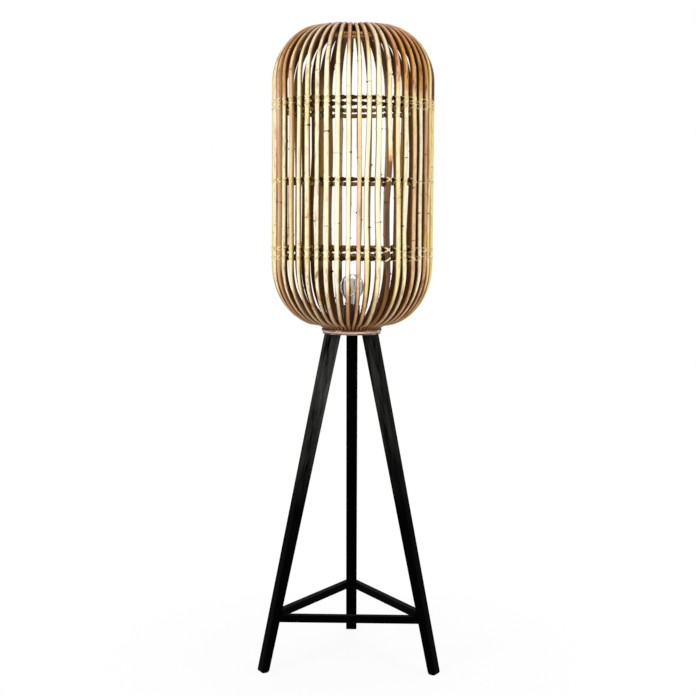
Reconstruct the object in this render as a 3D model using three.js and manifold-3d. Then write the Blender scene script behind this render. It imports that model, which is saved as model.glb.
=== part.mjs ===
// Rattan floor lamp: a cage of bent canes on a black wooden tripod, with a lampholder and bulb inside.
// Millimetres, +Z up. The floor is at zero height, the front looks along -Y.
import * as THREE from 'three';
import { mergeVertices } from 'three/addons/utils/BufferGeometryUtils.js';
import Module from 'manifold-3d';

const wasm = await Module();
wasm.setup();

// Clearance between pieces that touch, and how far every cutting shape overruns what it cuts
const CLEARANCE = 0.3;
const OVERRUN = 5;

// Tripod
const LEG_HEIGHT = 826;
const FOOT_CIRCLE_RADIUS = 242.5;
const LEG_WIDTH = 28;
const LEG_DEPTH_TOP = 33.5;
const LEG_DEPTH_FOOT = 20.4;
const LEG_SET_IN = 5.1;
const LEG_EDGE = 2;
const SOLE_ROUNDING = 7;

// Stretchers between the legs, and the dowels that hold them
const BAR_HEIGHT = 139.5;
const FRONT_BAR_DROP = 8.8;
const BAR_SIZE = 18;
const BAR_EDGE = 1;
const BAR_INSET = 4;
const DOWEL_RADIUS = 2.5;
const DOWEL_IN_LEG = 12;
const DOWEL_IN_BAR = 16;
const DOWEL_STAGGER = 3.4;

// Cage: canes stand on the collar line, round a lower dome, up a straight wall, over an upper dome
// and level inwards to the mouth
const CANE_COUNT = 48;
const CANE_RADIUS = 6.3;
const CANE_SPREAD_SHARE = 0.12;
const CANE_WANDER_SHARE = 0.22;
const CANE_BITE = 0.35;
const SHADE_RADIUS = 200;
const COLLAR_RADIUS = 58.5;
const COLLAR_FLARE_SHARE = 0.35;
const COLLAR_RISE = 16;
const LOWER_DOME_START = 95;
const LOWER_DOME_CENTRE = 75;
const LOWER_DOME_RISE = 139;
const LOWER_DOME_BASE = 171.7;
const WALL_LENGTH = 441;
const UPPER_DOME_CENTRE = 70;
const UPPER_DOME_RISE = 126;
const MOUTH_RADIUS = 58;

// Hoops inside the canes, the rebated ring at the mouth and the band around the collar
const HOOP_RADIUS = 4;
const UPPER_HOOPS_SHARE = 0.871;
const UPPER_HOOPS_SPACING = 14.5;
const MIDDLE_HOOP_SHARE = 0.459;
const LOWER_HOOPS_SHARE = 0.063;
const LOWER_HOOPS_SPACING = 21;
const MOUTH_RING_HEIGHT = 9;
const MOUTH_RING_LIP = 7.5;
const MOUTH_RING_BORE = 50;
const BAND_HEIGHT = 12;
const BAND_THICKNESS = 2.2;

// Head disc inside the collar, the seat hoop on it and the screws that clamp both to the legs
const DISC_THICKNESS = 12;
const SEAT_HOOP_HEIGHT = 7;
const SEAT_HOOP_WIDTH = 15;
const SCREW_RADIUS = 2;
const SCREW_HEAD_RADIUS = 4.2;
const SCREW_HEAD_HEIGHT = 2.6;
const SCREW_IN_LEG = 25;
const SCREW_POINT = 4;
const SCREW_FROM_RIM = 5.7;

// Threaded tube through the disc, its nut and the cord bushing
const TUBE_RADIUS = 5;
const TUBE_BORE = 4.1;
const NUT_RADIUS = 9;
const NUT_HEIGHT = 4;
const BUSHING_BORE = 3;
const BUSHING_FLANGE_RADIUS = 6.5;
const BUSHING_FLANGE_HEIGHT = 2.2;
const BUSHING_DEPTH = 6;

// Lampholder, from its cap up
const HOLDER_RADIUS = 20;
const HOLDER_WALL = 2;
const HOLDER_HUB_RADIUS = 9.5;
const HOLDER_HUB_DEPTH = 8;
const HOLDER_CAP_FLARE = 10;
const HOLDER_CAP_HEIGHT = 20;
const HOLDER_BODY_HEIGHT = 38;
const INSERT_HEIGHT = 11;
const INSERT_STEP = 3;
const INSERT_NECK_RADIUS = 15;
const SHELL_WALL = 0.6;
const SHELL_HEIGHT = 27;
const CONTACT_WIDTH = 6;
const CONTACT_LENGTH = 16;
const CONTACT_THICKNESS = 0.8;
const CONTACT_RISE = 3;

// Bulb
const BULB_CAP_RADIUS = 13.15;
const BULB_CAP_HEIGHT = 26;
const BULB_CAP_WALL = 0.8;
const BULB_TIP_RADIUS = 4.5;
const BULB_TIP_HEIGHT = 2;
const BULB_CONE_HEIGHT = 4;
const BULB_LENGTH = 105;
const BULB_RADIUS = 30;
const BULB_GLASS_WALL = 1.2;
const BULB_NECK_IN_CAP = 6;
const STEM_FLARE_HEIGHT = 9;
const STEM_ROD_RADIUS = 2.2;
const STEM_HEIGHT = 34;
const STEM_BUTTON_HEIGHT = 2;
const FILAMENT_RADIUS = 0.9;
const FILAMENT_CIRCLE = 8;
const FILAMENT_LENGTH = 34;
const FILAMENT_TURNS = 4;

// How finely round things are divided
const CANE_SIDES = 6;
const HOOP_SIDES = 5;
const FINE_SIDES = 16;
const SMALL_SIDES = 10;
const RING_SIDES = CANE_COUNT / 2;
const STRETCH_STEPS = [1, 1, 4, 2, 4, 1];

// Colours of the finishes
const FINISHES = {
  cane: { color: 0xe2c98e, roughness: 0.55, metalness: 0 },
  hoop: { color: 0x6a4b28, roughness: 0.7, metalness: 0 },
  band: { color: 0xc4a487, roughness: 0.65, metalness: 0 },
  blackWood: { color: 0x15120f, roughness: 0.5, metalness: 0 },
  rawWood: { color: 0xc8a878, roughness: 0.8, metalness: 0 },
  steel: { color: 0xa8a9ab, roughness: 0.35, metalness: 1 },
  brass: { color: 0xc9a24e, roughness: 0.3, metalness: 1 },
  nickel: { color: 0xbfbfc1, roughness: 0.3, metalness: 1 },
  brownPlastic: { color: 0x402611, roughness: 0.4, metalness: 0 },
  ceramic: { color: 0xe9e6df, roughness: 0.3, metalness: 0 },
  glass: { color: 0xeef2f2, roughness: 0.05, metalness: 0 },
  filament: { color: 0xe0b45a, roughness: 0.6, metalness: 0 },
};

// Heights worked out from the sizes above
const COLLAR_BOTTOM = LEG_HEIGHT + CLEARANCE;
const WALL_BOTTOM = COLLAR_BOTTOM + LOWER_DOME_BASE;
const WALL_TOP = WALL_BOTTOM + WALL_LENGTH;
const DOME_TOP = WALL_TOP + UPPER_DOME_RISE;
const DISC_TOP = COLLAR_BOTTOM + DISC_THICKNESS;
const SEAT_HOOP_BOTTOM = DISC_TOP + CLEARANCE;
const SEAT_HOOP_TOP = SEAT_HOOP_BOTTOM + SEAT_HOOP_HEIGHT;
const HOLDER_BOTTOM = DISC_TOP + CLEARANCE;
const INSERT_BOTTOM = HOLDER_BOTTOM + HOLDER_CAP_FLARE + HOLDER_WALL;
const BODY_BOTTOM = HOLDER_BOTTOM + HOLDER_CAP_HEIGHT + CLEARANCE;
const INSERT_TOP = INSERT_BOTTOM + INSERT_HEIGHT + INSERT_STEP;
const BULB_BOTTOM = INSERT_TOP + CLEARANCE + CONTACT_RISE + CLEARANCE;

// Angles of the legs, the half pitch of the canes and what the thickest cane measures
const LEG_ANGLES = { rear: Math.PI / 2, left: Math.PI * 7 / 6, right: Math.PI * 11 / 6 };
const CANE_HALF_PITCH = Math.PI / CANE_COUNT;
const CANE_RADIUS_MAX = CANE_RADIUS * (1 + CANE_SPREAD_SHARE);
const WALL_RADIUS = SHADE_RADIUS - 2 * CANE_RADIUS_MAX;
const CANE_FLAT_SHARE = Math.cos(Math.PI / CANE_SIDES);

// Closed mesh with shared corners and no collapsed triangles
function weld(geometry) {
  geometry.deleteAttribute('normal');
  geometry.deleteAttribute('uv');
  const welded = mergeVertices(geometry);
  const corners = welded.index.array;
  const kept = [];
  for (let i = 0; i < corners.length; i += 3) {
    const [a, b, c] = [corners[i], corners[i + 1], corners[i + 2]];
    if (a !== b && b !== c && c !== a) kept.push(a, b, c);
  }
  welded.setIndex(kept);
  return welded;
}

// Solid for joining and cutting, and back
function toSolid(geometry) {
  const welded = weld(geometry);
  const vertProperties = new Float32Array(welded.attributes.position.array);
  const triVerts = new Uint32Array(welded.index.array);
  return new wasm.Manifold(new wasm.Mesh({ numProp: 3, vertProperties, triVerts }));
}

function toGeometry(solid) {
  const mesh = solid.getMesh();
  const geometry = new THREE.BufferGeometry();
  geometry.setAttribute('position', new THREE.BufferAttribute(mesh.vertProperties, 3));
  geometry.setIndex(new THREE.BufferAttribute(mesh.triVerts, 1));
  return geometry;
}

function cut(geometry, cutters) {
  let solid = toSolid(geometry);
  for (const cutter of cutters) solid = solid.subtract(toSolid(cutter));
  return toGeometry(solid);
}

// Body of revolution about Z from [radius, height] points
function turned(points, sides) {
  const outline = points.map(([radius, height]) => new THREE.Vector2(radius, height));
  return weld(new THREE.LatheGeometry(outline, sides)).rotateX(Math.PI / 2);
}

// Round bar along Z from one height to another
function rod(radius, bottom, top, sides = SMALL_SIDES) {
  const bar = new THREE.CylinderGeometry(radius, radius, top - bottom, sides);
  return bar.rotateX(Math.PI / 2).translate(0, 0, (bottom + top) / 2);
}

// Plate with softened edges, from an outline in the X-Z plane and centred on Y
function plate(outline, width, edge) {
  const body = new THREE.ExtrudeGeometry(outline, {
    depth: width - 2 * edge,
    bevelEnabled: true,
    bevelThickness: edge,
    bevelSize: edge,
    bevelOffset: -edge,
    bevelSegments: 2,
    curveSegments: 3,
  });
  return body.rotateX(Math.PI / 2).translate(0, width / 2 - edge, 0);
}

// Named part with its own material
function part(name, geometry, finish) {
  const mesh = new THREE.Mesh(geometry, new THREE.MeshStandardMaterial(FINISHES[finish]));
  mesh.name = name;
  return mesh;
}

// Line on the cage's inner side that every cane lies against, from the collar to the mouth
function cageStretches() {
  const start = new THREE.Vector2(COLLAR_RADIUS, COLLAR_BOTTOM);
  const flare = new THREE.Vector2(COLLAR_FLARE_SHARE, 1);
  const collarTop = start.clone().addScaledVector(flare, COLLAR_RISE);
  const reach = WALL_RADIUS - LOWER_DOME_CENTRE;
  const startAngle = -Math.acos((LOWER_DOME_START - LOWER_DOME_CENTRE) / reach);
  const lowerDome = new THREE.EllipseCurve(
    LOWER_DOME_CENTRE, WALL_BOTTOM, reach, LOWER_DOME_RISE, startAngle, 0);
  const domeStart = lowerDome.getPoint(0);
  const domeSlope = lowerDome.getTangent(0);
  const gap = domeStart.clone().sub(collarTop);
  const along = gap.cross(domeSlope) / flare.cross(domeSlope);
  const corner = collarTop.clone().addScaledVector(flare, along);
  const upperReach = WALL_RADIUS - UPPER_DOME_CENTRE;
  return [
    new THREE.LineCurve(start, collarTop),
    new THREE.QuadraticBezierCurve(collarTop, corner, domeStart),
    lowerDome,
    new THREE.LineCurve(
      new THREE.Vector2(WALL_RADIUS, WALL_BOTTOM), new THREE.Vector2(WALL_RADIUS, WALL_TOP)),
    new THREE.EllipseCurve(
      UPPER_DOME_CENTRE, WALL_TOP, upperReach, UPPER_DOME_RISE, 0, Math.PI / 2),
    new THREE.LineCurve(
      new THREE.Vector2(UPPER_DOME_CENTRE, DOME_TOP), new THREE.Vector2(MOUTH_RADIUS, DOME_TOP)),
  ];
}

// Stations along that line: the point, the outward normal and how far the collar binds the canes
function cageStations() {
  const list = [];
  cageStretches().forEach((curve, stretch) => {
    const steps = STRETCH_STEPS[stretch];
    for (let step = stretch === 0 ? 0 : 1; step <= steps; step += 1) {
      const tangent = curve.getTangent(step / steps);
      const normal = new THREE.Vector2(tangent.y, -tangent.x);
      const bound = stretch === 0 ? 1 : stretch === 1 ? 1 - step / steps : 0;
      list.push({ point: curve.getPoint(step / steps), normal, bound });
    }
  });
  list[0].normal.set(1, 0);
  return list;
}

const STATIONS = cageStations();

// Radius of the cage's inner line at a height, with the normal there
function innerLine(height) {
  const next = STATIONS.findIndex((station) => station.point.y > height);
  const [low, high] = [STATIONS[next - 1], STATIONS[next]];
  const share = (height - low.point.y) / (high.point.y - low.point.y);
  const radius = THREE.MathUtils.lerp(low.point.x, high.point.x, share);
  const run = high.point.clone().sub(low.point).normalize();
  return { radius, normal: new THREE.Vector2(run.y, -run.x) };
}

// A cane's own thickness, and what is left of it where the canes crowd side by side
function caneRadiusAt(index, station) {
  const own = CANE_RADIUS * (1 + CANE_SPREAD_SHARE * Math.sin(index * index + index));
  const room = CANE_HALF_PITCH * station.point.x - CLEARANCE / 2;
  return Math.min(own, room / (CANE_FLAT_SHARE - CANE_HALF_PITCH * station.normal.x));
}

// Sideways sway of a cane in the free space beside it
function caneSway(index, station, share, radius) {
  const middle = station.point.x + radius * station.normal.x;
  const slack = CANE_HALF_PITCH * middle - CLEARANCE / 2 - radius * CANE_FLAT_SHARE;
  const wave = Math.sin(2 * Math.PI * share + index * index) * Math.sin(Math.PI * share);
  return slack * CANE_WANDER_SHARE * wave;
}

// One cane: a unit rod bent along the stations, beside the middle of its pair
function cane(index, side) {
  const steps = STATIONS.length - 1;
  const bent = new THREE.CylinderGeometry(1, 1, 1, CANE_SIDES, steps, false, Math.PI / 2);
  const spot = bent.attributes.position;
  for (let i = 0; i < spot.count; i += 1) {
    const share = spot.getY(i) + 1 / 2;
    const station = STATIONS[Math.round(share * steps)];
    const radius = caneRadiusAt(index, station);
    const out = radius * (1 + spot.getX(i));
    const distance = station.point.x + out * station.normal.x;
    const height = station.point.y + out * station.normal.y;
    const sway = caneSway(index, station, share, radius) - side * station.bound * CANE_BITE;
    const across = sway - radius * spot.getZ(i);
    const angle = side * CANE_HALF_PITCH;
    spot.setXYZ(
      i,
      distance * Math.cos(angle) - across * Math.sin(angle),
      distance * Math.sin(angle) + across * Math.cos(angle),
      height);
  }
  return bent;
}

// Canes in pairs, which the collar binds into one where they touch
function canePairs() {
  const cage = new THREE.Group();
  const count = CANE_COUNT / 2;
  for (let pair = 0; pair < count; pair += 1) {
    const first = toSolid(cane(2 * pair, -1));
    const second = toSolid(cane(2 * pair + 1, 1));
    const label = String(pair + 1).padStart(2, '0');
    const mesh = part(`cane_pair_${label}`, toGeometry(first.add(second)), 'cane');
    mesh.rotation.z = 4 * CANE_HALF_PITCH * pair;
    cage.add(mesh);
  }
  return cage;
}

// Round hoop tied inside the canes at a height on their inner line, straight behind each pair
function hoop(name, height) {
  const line = innerLine(height);
  const reach = HOOP_RADIUS + CLEARANCE;
  const touching = line.radius - reach * line.normal.x + HOOP_RADIUS;
  const corner = touching * Math.cos(CANE_HALF_PITCH) / Math.cos(2 * CANE_HALF_PITCH);
  const ring = new THREE.TorusGeometry(corner - HOOP_RADIUS, HOOP_RADIUS, HOOP_SIDES, RING_SIDES);
  const mesh = part(name, ring, 'hoop');
  mesh.position.z = height - reach * line.normal.y;
  mesh.rotation.z = 2 * CANE_HALF_PITCH;
  return mesh;
}

// Ring under the canes at the mouth, with a lip that their cut ends butt against
function mouthRing() {
  const shelf = DOME_TOP - CLEARANCE;
  const bottom = shelf - MOUTH_RING_HEIGHT;
  const lip = MOUTH_RADIUS - CLEARANCE;
  const lipTop = shelf + MOUTH_RING_LIP;
  const ring = turned([
    [MOUTH_RING_BORE, bottom],
    [UPPER_DOME_CENTRE, bottom],
    [UPPER_DOME_CENTRE, shelf],
    [lip, shelf],
    [lip, lipTop],
    [MOUTH_RING_BORE, lipTop],
    [MOUTH_RING_BORE, bottom],
  ], RING_SIDES);
  return part('top_hoop', ring, 'hoop');
}

function hoops() {
  const group = new THREE.Group();
  const upper = WALL_BOTTOM + UPPER_HOOPS_SHARE * WALL_LENGTH;
  const lower = WALL_BOTTOM + LOWER_HOOPS_SHARE * WALL_LENGTH;
  group.add(mouthRing());
  group.add(hoop('upper_hoop_high', upper + UPPER_HOOPS_SPACING / 2));
  group.add(hoop('upper_hoop_low', upper - UPPER_HOOPS_SPACING / 2));
  group.add(hoop('middle_hoop', WALL_BOTTOM + MIDDLE_HOOP_SHARE * WALL_LENGTH));
  group.add(hoop('lower_hoop_high', lower + LOWER_HOOPS_SPACING / 2));
  group.add(hoop('lower_hoop_low', lower - LOWER_HOOPS_SPACING / 2));
  return group;
}

// Band wound round the lower ends of the canes
function collarBand() {
  const outside = (station) => {
    const width = 2 * caneRadiusAt(0, station);
    return station.point.clone().addScaledVector(station.normal, width);
  };
  const [foot, shoulder] = [outside(STATIONS[0]), outside(STATIONS[1])];
  const flare = (shoulder.x - foot.x) / (shoulder.y - foot.y);
  const bottom = foot.x + CLEARANCE;
  const top = bottom + flare * BAND_HEIGHT;
  const ring = turned([
    [bottom, COLLAR_BOTTOM],
    [bottom + BAND_THICKNESS, COLLAR_BOTTOM],
    [top + BAND_THICKNESS, COLLAR_BOTTOM + BAND_HEIGHT],
    [top, COLLAR_BOTTOM + BAND_HEIGHT],
    [bottom, COLLAR_BOTTOM],
  ], CANE_COUNT);
  return part('collar_band', ring.rotateZ(CANE_HALF_PITCH), 'band');
}

// Where the clamping screws stand, counted from the axis
const SCREW_CIRCLE = COLLAR_RADIUS - SCREW_FROM_RIM;

function screwHoles(radius, bottom, top) {
  return Object.values(LEG_ANGLES).map((angle) => {
    const hole = rod(radius, bottom, top);
    return hole.translate(SCREW_CIRCLE, 0, 0).rotateZ(angle);
  });
}

// Wooden disc that the canes are clamped around and the legs are screwed to
function headDisc() {
  const bottom = innerLine(COLLAR_BOTTOM).radius - CLEARANCE;
  const top = innerLine(DISC_TOP).radius - CLEARANCE;
  const recess = NUT_HEIGHT + 3 * CLEARANCE;
  const blank = turned([
    [TUBE_RADIUS + CLEARANCE, COLLAR_BOTTOM + recess],
    [NUT_RADIUS + CLEARANCE, COLLAR_BOTTOM + recess],
    [NUT_RADIUS + CLEARANCE, COLLAR_BOTTOM],
    [bottom, COLLAR_BOTTOM],
    [top, DISC_TOP],
    [TUBE_RADIUS + CLEARANCE, DISC_TOP],
    [TUBE_RADIUS + CLEARANCE, COLLAR_BOTTOM + recess],
  ], RING_SIDES);
  const holes = screwHoles(SCREW_RADIUS + CLEARANCE, COLLAR_BOTTOM - OVERRUN, DISC_TOP + OVERRUN);
  return part('head_disc', cut(blank, holes), 'blackWood');
}

// Flat hoop on the disc that carries the canes' inner side
function seatHoop() {
  const corner = STATIONS[1].point;
  const bottom = innerLine(SEAT_HOOP_BOTTOM).radius - CLEARANCE;
  const top = Math.min(innerLine(SEAT_HOOP_TOP).radius, corner.x + SEAT_HOOP_HEIGHT) - CLEARANCE;
  const inner = bottom - SEAT_HOOP_WIDTH;
  const outline = [[inner, SEAT_HOOP_BOTTOM], [bottom, SEAT_HOOP_BOTTOM]];
  if (corner.y > SEAT_HOOP_BOTTOM && corner.y < SEAT_HOOP_TOP) {
    outline.push([corner.x - CLEARANCE, corner.y]);
  }
  outline.push([top, SEAT_HOOP_TOP], [inner, SEAT_HOOP_TOP], [inner, SEAT_HOOP_BOTTOM]);
  const holes = screwHoles(
    SCREW_RADIUS + CLEARANCE, SEAT_HOOP_BOTTOM - OVERRUN, SEAT_HOOP_TOP + OVERRUN);
  return part('seat_hoop', cut(turned(outline, RING_SIDES), holes), 'hoop');
}

// Pan-head wood screws down through the seat hoop and the disc into the legs
function headScrews() {
  const group = new THREE.Group();
  const seat = SEAT_HOOP_TOP + CLEARANCE;
  const tip = LEG_HEIGHT - SCREW_IN_LEG;
  for (const [side, angle] of Object.entries(LEG_ANGLES)) {
    const screw = turned([
      [0, tip],
      [SCREW_RADIUS, tip + SCREW_POINT],
      [SCREW_RADIUS, seat],
      [SCREW_HEAD_RADIUS, seat],
      [SCREW_HEAD_RADIUS, seat + SCREW_HEAD_HEIGHT / 2],
      [SCREW_HEAD_RADIUS / 2, seat + SCREW_HEAD_HEIGHT],
      [0, seat + SCREW_HEAD_HEIGHT],
    ], SMALL_SIDES);
    const mesh = part(`head_screw_${side}`, screw, 'steel');
    mesh.position.x = SCREW_CIRCLE * Math.cos(angle);
    mesh.position.y = SCREW_CIRCLE * Math.sin(angle);
    group.add(mesh);
  }
  return group;
}

// Leg: its middle runs from under the collar out to the foot circle
const LEG_TOP_CIRCLE = COLLAR_RADIUS - LEG_SET_IN;

function legLine(height) {
  const share = height / LEG_HEIGHT;
  return {
    middle: THREE.MathUtils.lerp(FOOT_CIRCLE_RADIUS, LEG_TOP_CIRCLE, share),
    half: THREE.MathUtils.lerp(LEG_DEPTH_FOOT, LEG_DEPTH_TOP, share) / 2,
  };
}

// Leg shape with its middle plane on X, grown all round for a cutter
function legBlank(grow) {
  const [foot, top] = [legLine(0), legLine(LEG_HEIGHT)];
  const outline = new THREE.Shape();
  const rise = SOLE_ROUNDING;
  const [heel, toe] = [foot.middle - foot.half - grow, foot.middle + foot.half + grow];
  const risen = legLine(rise);
  outline.moveTo(heel + rise, 0);
  outline.lineTo(toe - rise, 0);
  outline.quadraticCurveTo(toe, 0, risen.middle + risen.half + grow, rise);
  outline.lineTo(top.middle + top.half + grow, LEG_HEIGHT);
  outline.lineTo(top.middle - top.half - grow, LEG_HEIGHT);
  outline.lineTo(risen.middle - risen.half - grow, rise);
  outline.quadraticCurveTo(heel, 0, heel + rise, 0);
  return plate(outline, LEG_WIDTH + 2 * grow, LEG_EDGE);
}

// Stretcher line: it meets each leg's middle plane a little inside the leg's middle
const BAR_CIRCLE = legLine(BAR_HEIGHT).middle - BAR_INSET;
const BAR_APOTHEM = BAR_CIRCLE / 2;
const BAR_HALF_LENGTH = BAR_CIRCLE * Math.sin(Math.PI / 3);

// Distance from a stretcher's middle to the leg's face, along the stretcher
const BAR_TO_FACE = BAR_HALF_LENGTH
  - (legLine(BAR_HEIGHT).half - BAR_INSET) / Math.cos(Math.PI / 6);

// Stretchers, drawn in front and then turned to the side they stand on. Their two ends are told
// as the left and the right one: the leg that each meets, and whether its dowel sits low or high
const BARS = {
  front: { turn: 0, height: BAR_HEIGHT - FRONT_BAR_DROP, legs: ['left', 'right'], steps: [-1, -1] },
  right: { turn: Math.PI * 2 / 3, height: BAR_HEIGHT, legs: ['right', 'rear'], steps: [-1, 1] },
  left: { turn: -Math.PI * 2 / 3, height: BAR_HEIGHT, legs: ['rear', 'left'], steps: [-1, 1] },
};
const BAR_ENDS = [-1, 1];

// Dowel lying along a stretcher at one of its ends
function dowelRod(bar, end, radius, spare) {
  const from = BAR_TO_FACE - DOWEL_IN_BAR - spare;
  const to = BAR_TO_FACE + DOWEL_IN_LEG + spare;
  const step = bar.steps[BAR_ENDS.indexOf(end)];
  const pin = rod(radius, from, to).rotateY(end * Math.PI / 2);
  return pin.translate(0, -BAR_APOTHEM, bar.height + step * DOWEL_STAGGER);
}

// Holes for the dowels in a leg whose middle plane is on X
function dowelSockets(side) {
  const ends = Object.values(BARS).flatMap((bar) => BAR_ENDS.map((end) => [bar, end]));
  const met = ends.filter(([bar, end]) => bar.legs[BAR_ENDS.indexOf(end)] === side);
  return met.map(([bar, end]) => {
    const socket = dowelRod(bar, end, DOWEL_RADIUS + CLEARANCE, CLEARANCE);
    return socket.rotateZ(Math.PI / 2 - end * Math.PI / 3);
  });
}

function legs() {
  const group = new THREE.Group();
  for (const [side, angle] of Object.entries(LEG_ANGLES)) {
    const screwHole = rod(
      SCREW_RADIUS + CLEARANCE, LEG_HEIGHT - SCREW_IN_LEG - CLEARANCE, LEG_HEIGHT + OVERRUN);
    screwHole.translate(SCREW_CIRCLE, 0, 0);
    const holes = [screwHole, ...dowelSockets(side)];
    const mesh = part(`leg_${side}`, cut(legBlank(0), holes), 'blackWood');
    mesh.rotation.z = angle;
    group.add(mesh);
  }
  return group;
}

// Square stretcher in front, mitred towards its neighbours and cut to the slope of the legs
function stretcher(bar) {
  const side = BAR_SIZE / 2;
  const outline = new THREE.Shape();
  outline.moveTo(-BAR_HALF_LENGTH, bar.height - side);
  outline.lineTo(BAR_HALF_LENGTH, bar.height - side);
  outline.lineTo(BAR_HALF_LENGTH, bar.height + side);
  outline.lineTo(-BAR_HALF_LENGTH, bar.height + side);
  const cutters = BAR_ENDS.flatMap((end) => {
    const turn = end === 1 ? LEG_ANGLES.right : LEG_ANGLES.left;
    const beyond = new THREE.BoxGeometry(2 * BAR_CIRCLE, 2 * BAR_SIZE, 2 * BAR_SIZE);
    beyond.translate(BAR_CIRCLE, end * (BAR_SIZE - CLEARANCE / 2), bar.height);
    return [
      beyond.rotateZ(turn),
      legBlank(CLEARANCE).rotateZ(turn),
      dowelRod(bar, end, DOWEL_RADIUS + CLEARANCE, CLEARANCE),
    ];
  });
  const blank = plate(outline, BAR_SIZE, BAR_EDGE).translate(0, -BAR_APOTHEM, 0);
  return cut(blank, cutters);
}

function stretchers() {
  const group = new THREE.Group();
  for (const [name, bar] of Object.entries(BARS)) {
    const mesh = part(`stretcher_${name}`, stretcher(bar), 'blackWood');
    mesh.rotation.z = bar.turn;
    group.add(mesh);
    for (const end of BAR_ENDS) {
      const label = end === 1 ? 'b' : 'a';
      const pin = dowelRod(bar, end, DOWEL_RADIUS, 0);
      const dowel = part(`dowel_${name}_${label}`, pin, 'rawWood');
      dowel.rotation.z = bar.turn;
      group.add(dowel);
    }
  }
  return group;
}

// Threaded tube, its nut in the disc's recess and the bushing where a cord enters
function cordInlet() {
  const group = new THREE.Group();
  const tubeBottom = COLLAR_BOTTOM + CLEARANCE;
  const tubeTop = HOLDER_BOTTOM + HOLDER_HUB_DEPTH;
  const tube = turned([
    [TUBE_BORE, tubeBottom],
    [TUBE_RADIUS, tubeBottom],
    [TUBE_RADIUS, tubeTop],
    [TUBE_BORE, tubeTop],
    [TUBE_BORE, tubeBottom],
  ], FINE_SIDES);
  group.add(part('threaded_tube', tube, 'steel'));
  const nutBottom = COLLAR_BOTTOM + 2 * CLEARANCE;
  const hexagon = new THREE.CylinderGeometry(NUT_RADIUS, NUT_RADIUS, NUT_HEIGHT, 6);
  hexagon.rotateX(Math.PI / 2).translate(0, 0, nutBottom + NUT_HEIGHT / 2);
  const bore = rod(TUBE_RADIUS + CLEARANCE, nutBottom - OVERRUN, nutBottom + NUT_HEIGHT + OVERRUN);
  group.add(part('tube_nut', cut(hexagon, [bore]), 'steel'));
  const flangeBottom = COLLAR_BOTTOM - BUSHING_FLANGE_HEIGHT;
  const bushing = turned([
    [BUSHING_BORE, flangeBottom],
    [BUSHING_FLANGE_RADIUS, flangeBottom],
    [BUSHING_FLANGE_RADIUS, COLLAR_BOTTOM],
    [TUBE_BORE - CLEARANCE, COLLAR_BOTTOM],
    [TUBE_BORE - CLEARANCE, COLLAR_BOTTOM + BUSHING_DEPTH],
    [BUSHING_BORE, COLLAR_BOTTOM + BUSHING_DEPTH],
    [BUSHING_BORE, flangeBottom],
  ], FINE_SIDES);
  group.add(part('cord_bushing', bushing, 'brownPlastic'));
  return group;
}

// Lampholder: cap on the tube, outer body, ceramic insert, brass shell and centre contact
function lampholder() {
  const group = new THREE.Group();
  const inner = HOLDER_RADIUS - HOLDER_WALL;
  const bore = TUBE_RADIUS + CLEARANCE;
  const capTop = HOLDER_BOTTOM + HOLDER_CAP_HEIGHT;
  const cap = turned([
    [bore, HOLDER_BOTTOM],
    [HOLDER_HUB_RADIUS, HOLDER_BOTTOM],
    [HOLDER_RADIUS, HOLDER_BOTTOM + HOLDER_CAP_FLARE],
    [HOLDER_RADIUS, capTop],
    [inner, capTop],
    [inner, INSERT_BOTTOM - CLEARANCE],
    [HOLDER_HUB_RADIUS, HOLDER_BOTTOM + HOLDER_HUB_DEPTH],
    [bore, HOLDER_BOTTOM + HOLDER_HUB_DEPTH],
    [bore, HOLDER_BOTTOM],
  ], FINE_SIDES);
  group.add(part('holder_cap', cap, 'brownPlastic'));
  const bodyTop = BODY_BOTTOM + HOLDER_BODY_HEIGHT;
  const body = turned([
    [inner, BODY_BOTTOM],
    [HOLDER_RADIUS, BODY_BOTTOM],
    [HOLDER_RADIUS, bodyTop],
    [inner, bodyTop],
    [inner, BODY_BOTTOM],
  ], FINE_SIDES);
  group.add(part('holder_body', body, 'brownPlastic'));
  const insert = turned([
    [0, INSERT_BOTTOM],
    [inner - CLEARANCE, INSERT_BOTTOM],
    [inner - CLEARANCE, INSERT_BOTTOM + INSERT_HEIGHT],
    [INSERT_NECK_RADIUS, INSERT_BOTTOM + INSERT_HEIGHT],
    [INSERT_NECK_RADIUS, INSERT_TOP],
    [0, INSERT_TOP],
  ], FINE_SIDES);
  group.add(part('holder_insert', insert, 'ceramic'));
  const shellInner = BULB_CAP_RADIUS + CLEARANCE;
  const shellBottom = INSERT_TOP + CLEARANCE;
  const shell = turned([
    [shellInner, shellBottom],
    [shellInner + SHELL_WALL, shellBottom],
    [shellInner + SHELL_WALL, shellBottom + SHELL_HEIGHT],
    [shellInner, shellBottom + SHELL_HEIGHT],
    [shellInner, shellBottom],
  ], FINE_SIDES);
  group.add(part('screw_shell', shell, 'brass'));
  group.add(centreContact());
  return group;
}

// Sprung strip in the bottom of the holder: a flat foot, a rise and a tongue under the bulb's tip
function centreContact() {
  const base = INSERT_TOP + CLEARANCE;
  const half = CONTACT_LENGTH / 2;
  const step = half / 3;
  const thick = CONTACT_THICKNESS;
  const strip = new THREE.Shape();
  strip.moveTo(-half, base);
  strip.lineTo(-step, base);
  strip.lineTo(step, base + CONTACT_RISE - thick);
  strip.lineTo(half, base + CONTACT_RISE - thick);
  strip.lineTo(half, base + CONTACT_RISE);
  strip.lineTo(step, base + CONTACT_RISE);
  strip.lineTo(-step, base + thick);
  strip.lineTo(-half, base + thick);
  const tongue = new THREE.ExtrudeGeometry(strip, { depth: CONTACT_WIDTH, bevelEnabled: false });
  tongue.rotateX(Math.PI / 2).translate(0, CONTACT_WIDTH / 2, 0);
  return part('centre_contact', tongue, 'brass');
}

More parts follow.
